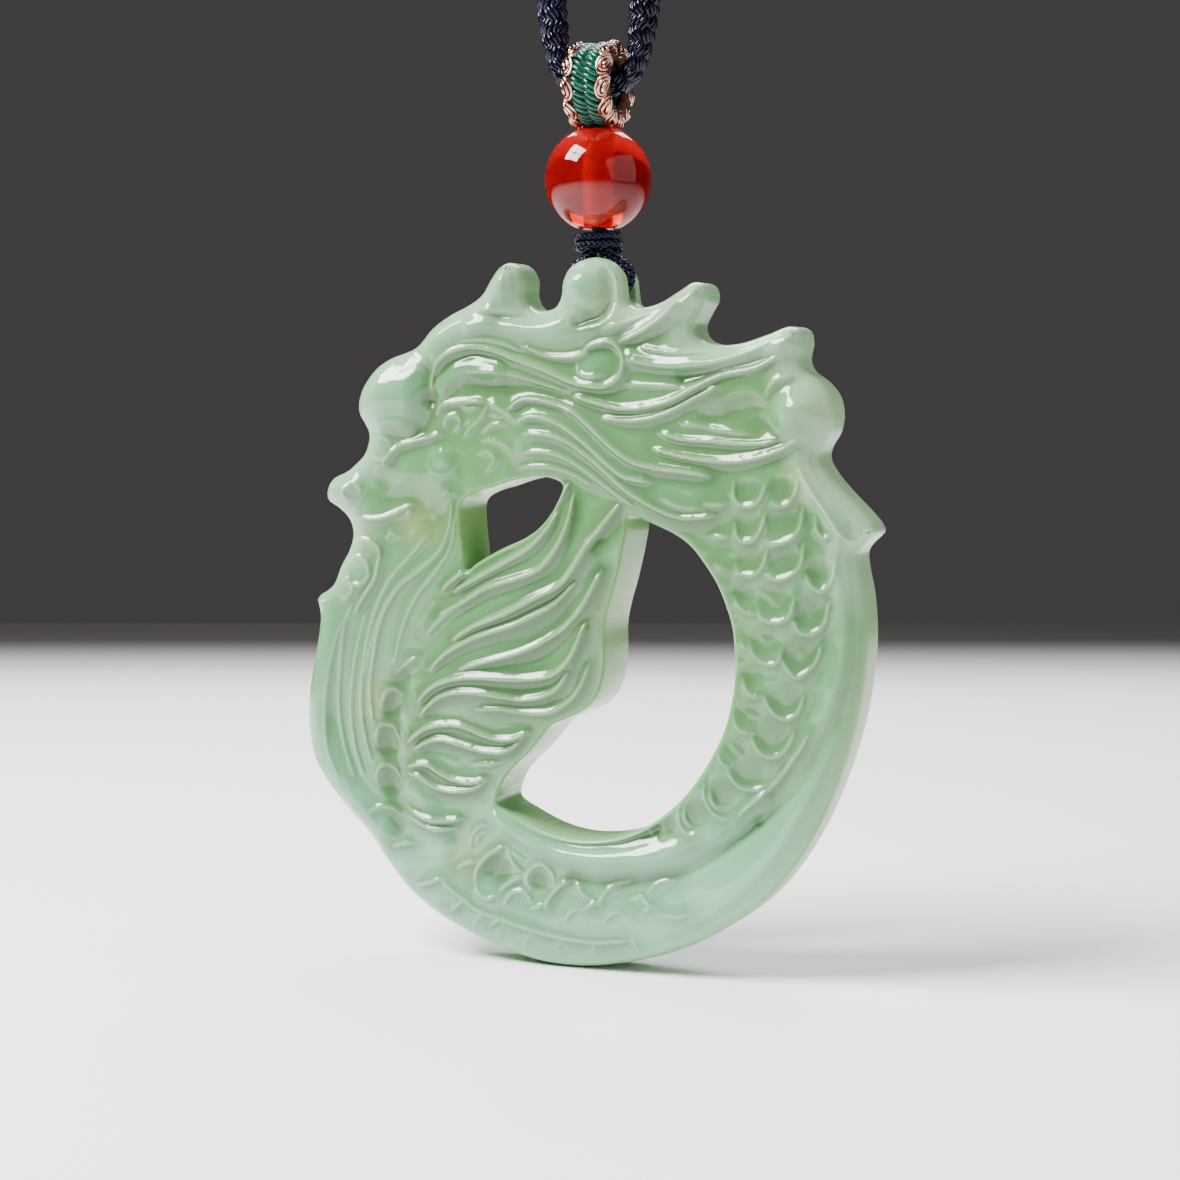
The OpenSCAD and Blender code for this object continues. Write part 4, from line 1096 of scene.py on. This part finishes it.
    (0.3, 0.35, [(-4.6, 6), (-4.9, 6.8), (-4.5, 7.6), (-3.9, 8), (-3.3, 7.9), (-2.7, 7.3),
        (-2.5, 6.4)], [(-6.7, 4.6), (-6.3, 5.4), (-5.6, 5.8), (-4.9, 5.7), (-4.4, 5)], [(-4.4, 4.6),
        (-3.7, 4.75), (-3.1, 5.05)]),
    (0.38, 0.4, [(-3.2, 4.6), (-3, 5.3), (-2.4, 6.1), (-1.9, 6.6), (-1, 7)]),
    (0.28, 0.35, [(-1, 7), (-0.5, 6.5), (0, 5.8), (0.6, 5.6)]),
    (0.32, 0.35, [(0, 4.8), (0.7, 5.25), (1.4, 5.35)]),
    (0.28, 0.4, [(1.1, 5.2), (1.5, 5.9), (2, 6.5), (2.8, 7), (3.6, 7.2)]),
    (0.26, 0.35, [(3.8, 5.9), (4.8, 6), (5.3, 5.6), (5.8, 5.4)]),
    (0.28, 0.3, [(4.9, 5.15), (5.7, 5.35)]),
    (0.2, 0.35, [(5.2, 6.4), (5.7, 7), (6.4, 7.35), (7.2, 7.5)],
        [(6.8, 4.9), (7.8, 4.8), (8.7, 5.2)]),
    (0.22, 0.35, [(-1.6, 3.9), (-0.9, 4.6), (-0.1, 4.8)]),
    (0.2, 0.35, [(1.6, 3.8), (2.3, 4.6), (3.2, 4.9)])]

# %% [markdown]
# Scales
#
# One scale could be drawn and repeated, but the carver cut each by eye, wide near the head and
# small at the bend. So each has its own line, the raised lower rim, from its inner end to its
# outer end. A shallow dish is sunk above each rim, and painted shade darkens the colour in it.

# %% Scales
SCALE_RIMS = [
    [(12, 37.8), (12, 37.1), (12.3, 36.35), (13, 36.05), (13.8, 36.3), (14.3, 36.9), (14.6, 37.8)],
    [(9.8, 36.3), (10.7, 36.1), (11.7, 36.3)],
    [(15, 36.5), (15.6, 36.1), (16.3, 36.3), (16.9, 37.3), (17, 38.2)],
    [(10, 33.85), (10.9, 33.7), (11.9, 33.8)],
    [(12.05, 34.9), (12.3, 33.8), (12.9, 33.4), (13.6, 33.6), (14.2, 34.4), (14.6, 35.6)],
    [(14.6, 33.8), (15.1, 33.3), (16, 33.45), (16.8, 33.9), (17.3, 34.8), (17.4, 36)],
    [(18.3, 35.5), (18.5, 34.4), (19.1, 33.8), (19.7, 34.4)],
    [(10.5, 31.8), (10.9, 31.45), (11.6, 31.3)],
    [(12.1, 31.6), (12.4, 31.1), (13, 30.9), (13.7, 31), (14.3, 31.6), (14.8, 33)],
    [(14.5, 31.2), (15.4, 30.7), (16.3, 30.9), (17, 31.4), (17.4, 32.2), (17.5, 33.4)],
    [(17.6, 31.2), (18.1, 30.3), (18.9, 29.9), (19.5, 30.5), (19.8, 31.3), (19.9, 32.4)],
    [(12, 29.3), (12.5, 28.5), (13.2, 28.1), (14, 28.1)],
    [(13.9, 28.5), (14.3, 27.8), (15.1, 27.5), (15.9, 27.6), (16.6, 28.2), (16.9, 29.4)],
    [(16.7, 27.8), (17.2, 26.9), (17.9, 26.7), (18.7, 27), (19.2, 27.8), (19.4, 29.2)],
    [(12.5, 26.2), (12.8, 25.6), (13.4, 25.3)],
    [(13.2, 25.8), (13.6, 25.1), (14.2, 24.6), (15, 24.35), (15.6, 24.6), (16, 25.6)],
    [(15.8, 25), (16.2, 24.3), (17, 23.5), (17.8, 23.9), (18.5, 24.7), (18.9, 26)],
    [(12.7, 23.3), (13.1, 22.4), (13.7, 21.9), (14.5, 22)],
    [(14.5, 22), (15, 21.1), (15.8, 20.4), (16.6, 20.4), (17.2, 21), (17.6, 22.2)],
    [(12, 20.4), (12.4, 19.6), (13, 19.2), (13.7, 19.2)],
    [(13.5, 18.9), (14.2, 17.8), (15.1, 17.4), (16, 17.8), (16.6, 18.7), (16.9, 19.6)],
    [(10.8, 17.7), (11.2, 16.9), (11.8, 16.5)],
    [(11.6, 16.4), (12.3, 15.3), (13.2, 14.9), (14.2, 15), (14.9, 15.6)],
    [(9.8, 15.2), (9.9, 14), (10.3, 13.2), (10.9, 12.7), (11.5, 12.6)],
    [(7.7, 13.4), (7.7, 12.2), (8.1, 11.4), (8.7, 11.2)], [(5, 12.4), (5, 11.5), (5.4, 10.9)],
    [(8.2, 13.3), (8.2, 12.4), (8.6, 11.8)], [(10.3, 14.8), (10.4, 14), (10.8, 13.3)],
    # column beside the beard, open at the bottom
    [(-17.4, 19.6), (-17.1, 20.7), (-16.4, 21.2), (-15.7, 20.8)],
    [(-17.9, 16.8), (-17.7, 17.9), (-17.1, 18.3), (-16.3, 18), (-15.9, 17)],
    [(-17.9, 13.6), (-17.7, 14.7), (-17, 15.1), (-16.2, 14.7), (-15.8, 13.8)]]
# Columns: x and height of the dish's middle, and its radius
DISHES = [
    (13.2, 37.3, 1.1), (15.9, 37.5, 1.1), (13.1, 34.9, 1.2), (15.9, 35.1, 1.3), (13.4, 32.3, 1.2),
    (16, 32.2, 1.3), (18.7, 31.4, 1.1), (12.9, 29.7, 1), (15.3, 29.3, 1.4), (18, 28.4, 1.3),
    (14.6, 26.2, 1.3), (17.3, 25.3, 1.5), (13.6, 23.5, 1), (16.1, 21.9, 1.4), (13.3, 20.7, 1.1),
    (15.1, 19.2, 1.4), (12.3, 18, 1), (13.3, 16.4, 1.3), (11.4, 14.7, 1.2), (9.2, 12.9, 1.1),
    (6.5, 11.8, 1), (-7.4, 7.3, 1.3), (-3.8, 6.7, 0.8), (-16.6, 19.7, 0.9), (-17, 16.6, 1),
    (-16.8, 13.5, 1), (-16.2, 10.4, 1)]
CRESTS = [(height, width, line) for height, width, *lines in CREST_ROWS for line in lines]
FIRST_SCALE = len(CRESTS)
CRESTS += [(0.32, 0.3, line) for line in SCALE_RIMS]
print("crests", len(CRESTS), "swells", len(SWELLS), "dishes", len(DISHES))

# %% [markdown]
# From lines to heights
#
# A swell is a bell, full height on its line and level at its half width. A crest has a thin sharp
# top on a foot that runs out much wider. It is gentle above and steep below, as the carver
# undercuts each lock, and thickest in the middle of its run. Points that lie close to a crest are
# first drawn on to it, so that it comes out as one clean edge.

# %% Heights
DISH_DEPTH = 0.12
# Share of a crest's height that its wide foot has
FOOT_SHARE = 0.42
UPHILL = np.array([-0.2, 0.98])
# How much wider a crest's top is above its line and narrower below it, and its foot
TOP_ABOVE, TOP_BELOW, FOOT_LEAN = 0.9, 0.3, 0.35
# A crest rises to its full height over this length, from this share of it
TAPER_RUN, TAPER_START = 0.8, 0.2
# How round a line's thick middle is: a lock swells in its middle, a scale's rim stays even
LOCK_BODY, SCALE_BODY = 0.7, 0.2
# The face is let down by this much within reach of the crests
LET_DOWN, REACH, REACH_SOFT = 0.14, 2.2, 1.2


def close_to(points, line, reach):
    """Numbers of the points that may lie within reach of a line."""
    low, high = line.min(0) - reach, line.max(0) + reach
    return np.flatnonzero(((points >= low) & (points <= high)).all(1))


def bell(distance, reach, power):
    """1 at no distance and 0 from reach on."""
    return np.clip(1 - (distance / reach) ** 2, 0, None) ** power


def swell_heights(flat):
    """Height of the swells and, by itself, how deep each point lies in a scale's dish."""
    heights = np.zeros(len(flat))
    for height, width, points in SWELLS:
        line = smooth_line(points, 0.5)
        near = close_to(flat, line, width)
        heights[near] += height * bell(nearest_on_line(flat[near], line)[0], width, 2)
    dish = spots(flat, DISHES, 0.6)
    return heights - DISH_DEPTH * dish, dish


def spots(flat, places, power):
    """Soft round spots: 1 in the middle of each and 0 at its radius."""
    share = np.zeros(len(flat))
    for x, z, radius in places:
        share = np.maximum(share, bell(np.hypot(*(flat - (x, z)).T), radius, power))
    return share


def crest_heights(flat):
    """Height of the crests, their thin top alone, the distance to the closest one, its point and
    its own height."""
    heights, tops, full = np.zeros(len(flat)), np.zeros(len(flat)), np.zeros(len(flat))
    gap, target = np.full(len(flat), np.inf), flat.copy()
    for number, (height, width, points) in enumerate(CRESTS):
        line = smooth_line(points, 0.3)
        near = close_to(flat, line, REACH)
        distance, foot, _, along = nearest_on_line(flat[near], line)
        run = np.linalg.norm(np.diff(line, axis=0), axis=1).sum()
        taper = np.clip(np.minimum(along, 1 - along) * run / TAPER_RUN + TAPER_START, 0, 1)
        soft = np.sqrt(distance ** 2 + 0.04 ** 2)
        above = (flat[near] - foot) @ UPHILL / soft
        body = np.sin(math.pi * along) ** (LOCK_BODY if number < FIRST_SCALE else SCALE_BODY)
        top = (0.10 + 0.24 * width * body) * (1 + np.where(above > 0, TOP_ABOVE, TOP_BELOW) * above)
        wide = (0.45 + 1.25 * width * (0.5 + 0.6 * body)) * (1 + FOOT_LEAN * above)
        top, wide = np.clip(1 - soft / top, 0, 1), np.clip(1 - soft / wide, 0, 1) ** 2
        heights[near] = np.maximum(heights[near],
            height * taper * ((1 - FOOT_SHARE) * top + FOOT_SHARE * wide))
        tops[near] = np.maximum(tops[near], height * taper * top)
        closer = distance < gap[near]
        gap[near[closer]], target[near[closer]] = distance[closer], foot[closer]
        full[near[closer]] = height
    return heights, tops, gap, target, full


def draw_on_to_crests(flat, free):
    """Moves the points within 0.8 of a mesh step of a crest sideways on to it, the closest ones
    most of the way."""
    _, _, gap, target, _ = crest_heights(flat)
    pull = np.clip(1.6 - 2.0 * gap / MESH_STEP, 0, 0.85) * free
    return flat + (target - flat) * pull[:, None]


def grooved(gap):
    """Share of the let-down: 0 far from every crest, 1 beside one."""
    return np.clip((REACH - gap) / REACH_SOFT, 0, 1)


# %% Carve
# The flat on the forehead: its middle as x and height, its half width, its height there, its two
# slopes and how steeply its cut leaves the stone past its edges
BROW_X, BROW_Z, BROW_HALF, BROW_TOP = -15.2, 45.9, 2.3, 3.2
BROW_FALL, BROW_TURN, BROW_LEAVE = 0.56, 0.1, 2


def brow_facet(points):
    """Height of the flat that is ground on the forehead's top, and far out everywhere else."""
    x, z = points[:, 0] - BROW_X, points[:, 2] - BROW_Z
    # The corner up and to the right is left out
    corner = np.clip(0.7 * (x - 1.1 + z - 1.5) - 0.2, 0, None)
    beyond = np.clip(np.abs(x) - BROW_HALF, 0, None) + corner
    flat_height = BROW_TOP - BROW_FALL * z + BROW_TURN * x + BROW_LEAVE * beyond
    return np.where(z > -0.6, flat_height, 9)


flat = coords[:, [0, 2]]
flat = draw_on_to_crests(flat, np.clip(depth / 0.8, 0, 1) * (face_share > 0.98))
(swell, dish), (crest, top, gap, _, full) = swell_heights(flat), crest_heights(flat)
heights = swell + crest - LET_DOWN * grooved(gap)
fade = face_share ** 2 * np.clip(depth / 0.35, 0, 1)
coords[:, 0], coords[:, 2] = flat.T
coords[:, 1] += np.sign(coords[:, 1]) * heights * fade
coords[:, 1] = np.sign(coords[:, 1]) * np.minimum(np.abs(coords[:, 1]), brow_facet(coords))
jade.data.vertices.foreach_set("co", coords.ravel())
print("relief from", round(float(heights.min()), 2), "to", round(float(heights.max()), 2))

# %% [markdown]
# What the finish needs to know
#
# The colour carries painted light that follows the carving: painted shade in the channels, hollows
# and dishes, and paler painted light on the crests, swells and thin tips. A picture could be
# painted for that, but the script already knows where each form is, so it stores that as numbers on
# the points. Then the mesh is thinned out where it is flat.

# %% Numbers on the points, and fewer faces
# Yellowish places in the stone. Columns: x, height and radius.
WARM_SPOTS = [
    (-14, 34.6, 3), (-19, 33.2, 2), (2.4, 51.4, 2.6), (18.8, 43.6, 2.6), (-9.2, 34.4, 2.4),
    (-17.6, 20, 2.4), (17.4, 38, 2.4), (-10, 8, 2.2), (2.6, 28, 2)]
MOST_TRIANGLES = 196000


def keep_on_points(piece, name, values):
    """Stores a number on each point, for the finish to read."""
    layer = piece.data.attributes.new(name, "FLOAT", "POINT")
    layer.data.foreach_set("value", np.clip(values, 0, 1).astype(np.float32))


# Painted shade: the channels are darkened beside a crest, more so beside a high one and less on the
# head
beside = np.clip(1 - gap / 1.3, 0, 1) ** 1.5 * np.clip((gap - 0.08) / 0.12, 0, 1)
cut_depth = np.clip(full / 0.6, 0.3, 1) * (1 - 0.3 * np.clip((flat[:, 1] - 36) / 4, 0, 1))
channel = cut_depth * (0.9 * beside + 0.5 * grooved(gap))
# Painted shade in the channels, in the hollows and in the scales' dishes
recess_shade = channel + np.clip(-swell / 0.4, 0, 0.5) + 0.45 * dish
# Painted glow on the thin upper tips near the outline
near_outline = np.clip(1.3 - depth / 2.2, 0, 1) * (which_rim == 0)
for name, values in (("recess_shade", fade * recess_shade), ("crest", fade * top / 0.35),
        ("swell", fade * swell / 0.9), ("wall", 1 - face_share),
        ("warm", spots(flat, WARM_SPOTS, 1.5)),
        ("tip", near_outline * np.clip((flat[:, 1] - 26) / 5, 0, 1))):
    keep_on_points(jade, name, values)
jade.data.update()
before = len(jade.data.polygons)
thin = jade.modifiers.new("thin_out", "DECIMATE")
thin.ratio = MOST_TRIANGLES / (2 * before)
settle(jade)
jade.data.transform(Matrix.Translation((0, 0, JADE_Z * MM)) @ Matrix.Scale(MM, 4))
print("faces", before, "thinned to", len(jade.data.polygons))

# %% [markdown]
# Jade finish
#
# Polished pale celadon jade: light goes a few millimetres into the stone. The colour also carries
# painted light: painted shade makes the deep channels darker and yellower, painted light makes the
# crests and swells paler, and a painted glow makes the thin tips of the outline palest. The stone
# is cloudy, with bluish and yellowish patches, and the colour is darker towards the head and paler
# and bluer towards the foot. The polish is high on the raised parts and duller in the channels,
# where the wheel can't reach.

# %% Jade finish
celadon = Finish("celadon_jade", IOR=1.54, Subsurface_Weight=0.75, Subsurface_Scale=0.0005,
    Subsurface_Radius=(0.85, 1.0, 0.65))
_, _, up = celadon.split(celadon.place())
patches = celadon.noise(28, 2).step(0.4, 0.65)
high = up.step((JADE_Z + 30) * MM, (JADE_Z + 42) * MM)
low = 1 - up.step((JADE_Z + 4) * MM, (JADE_Z + 22) * MM)
recess_shade, crest, swell, wall, warm, tip = (celadon.attribute(name)
    for name in ("recess_shade", "crest", "swell", "wall", "warm", "tip"))
# Each tone goes over the ones before it. Columns: where it lies, how much of it, and its colour.
# The swell tone is painted light on the raised forms, the crest tone is a painted highlight, the
# recess tone is painted shade and the tip tone is a painted glow.
TONES = ((patches, 0.5, (0.118, 0.30, 0.175)), (high, 0.5, (0.095, 0.22, 0.065)),
    (swell, 0.5, (0.155, 0.38, 0.245)), (low, 0.75, (0.22, 0.48, 0.325)),
    (warm, 0.5, (0.33, 0.37, 0.13)), (recess_shade, 0.9, (0.065, 0.15, 0.052)),
    (crest, 0.28, (0.38, 0.52, 0.35)), (wall, 0.7, (0.21, 0.37, 0.14)),
    (tip, 0.5, (0.35, 0.54, 0.38)))
clouds = celadon.noise(75, 3).step(0.35, 0.7)
stone = celadon.mix(clouds, (0.093, 0.252, 0.085), (0.13, 0.31, 0.132))
for place, share, colour in TONES:
    stone = celadon.mix(place * share, stone, colour)
fine = celadon.noise(420, 3)
wave = celadon.noise(190, 2) + 0.2 * celadon.noise(900, 2)
celadon.set(Base_Color=stone, Roughness=0.06 + 0.05 * recess_shade + 0.03 * fine + 0.16 * wall,
    Normal=celadon.bump(wave, 0.00010, 0.4))
dress(jade, celadon)
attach(jade, "drop")
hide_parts("jade_dragon")
print("jade nodes", len(celadon.tree.nodes))
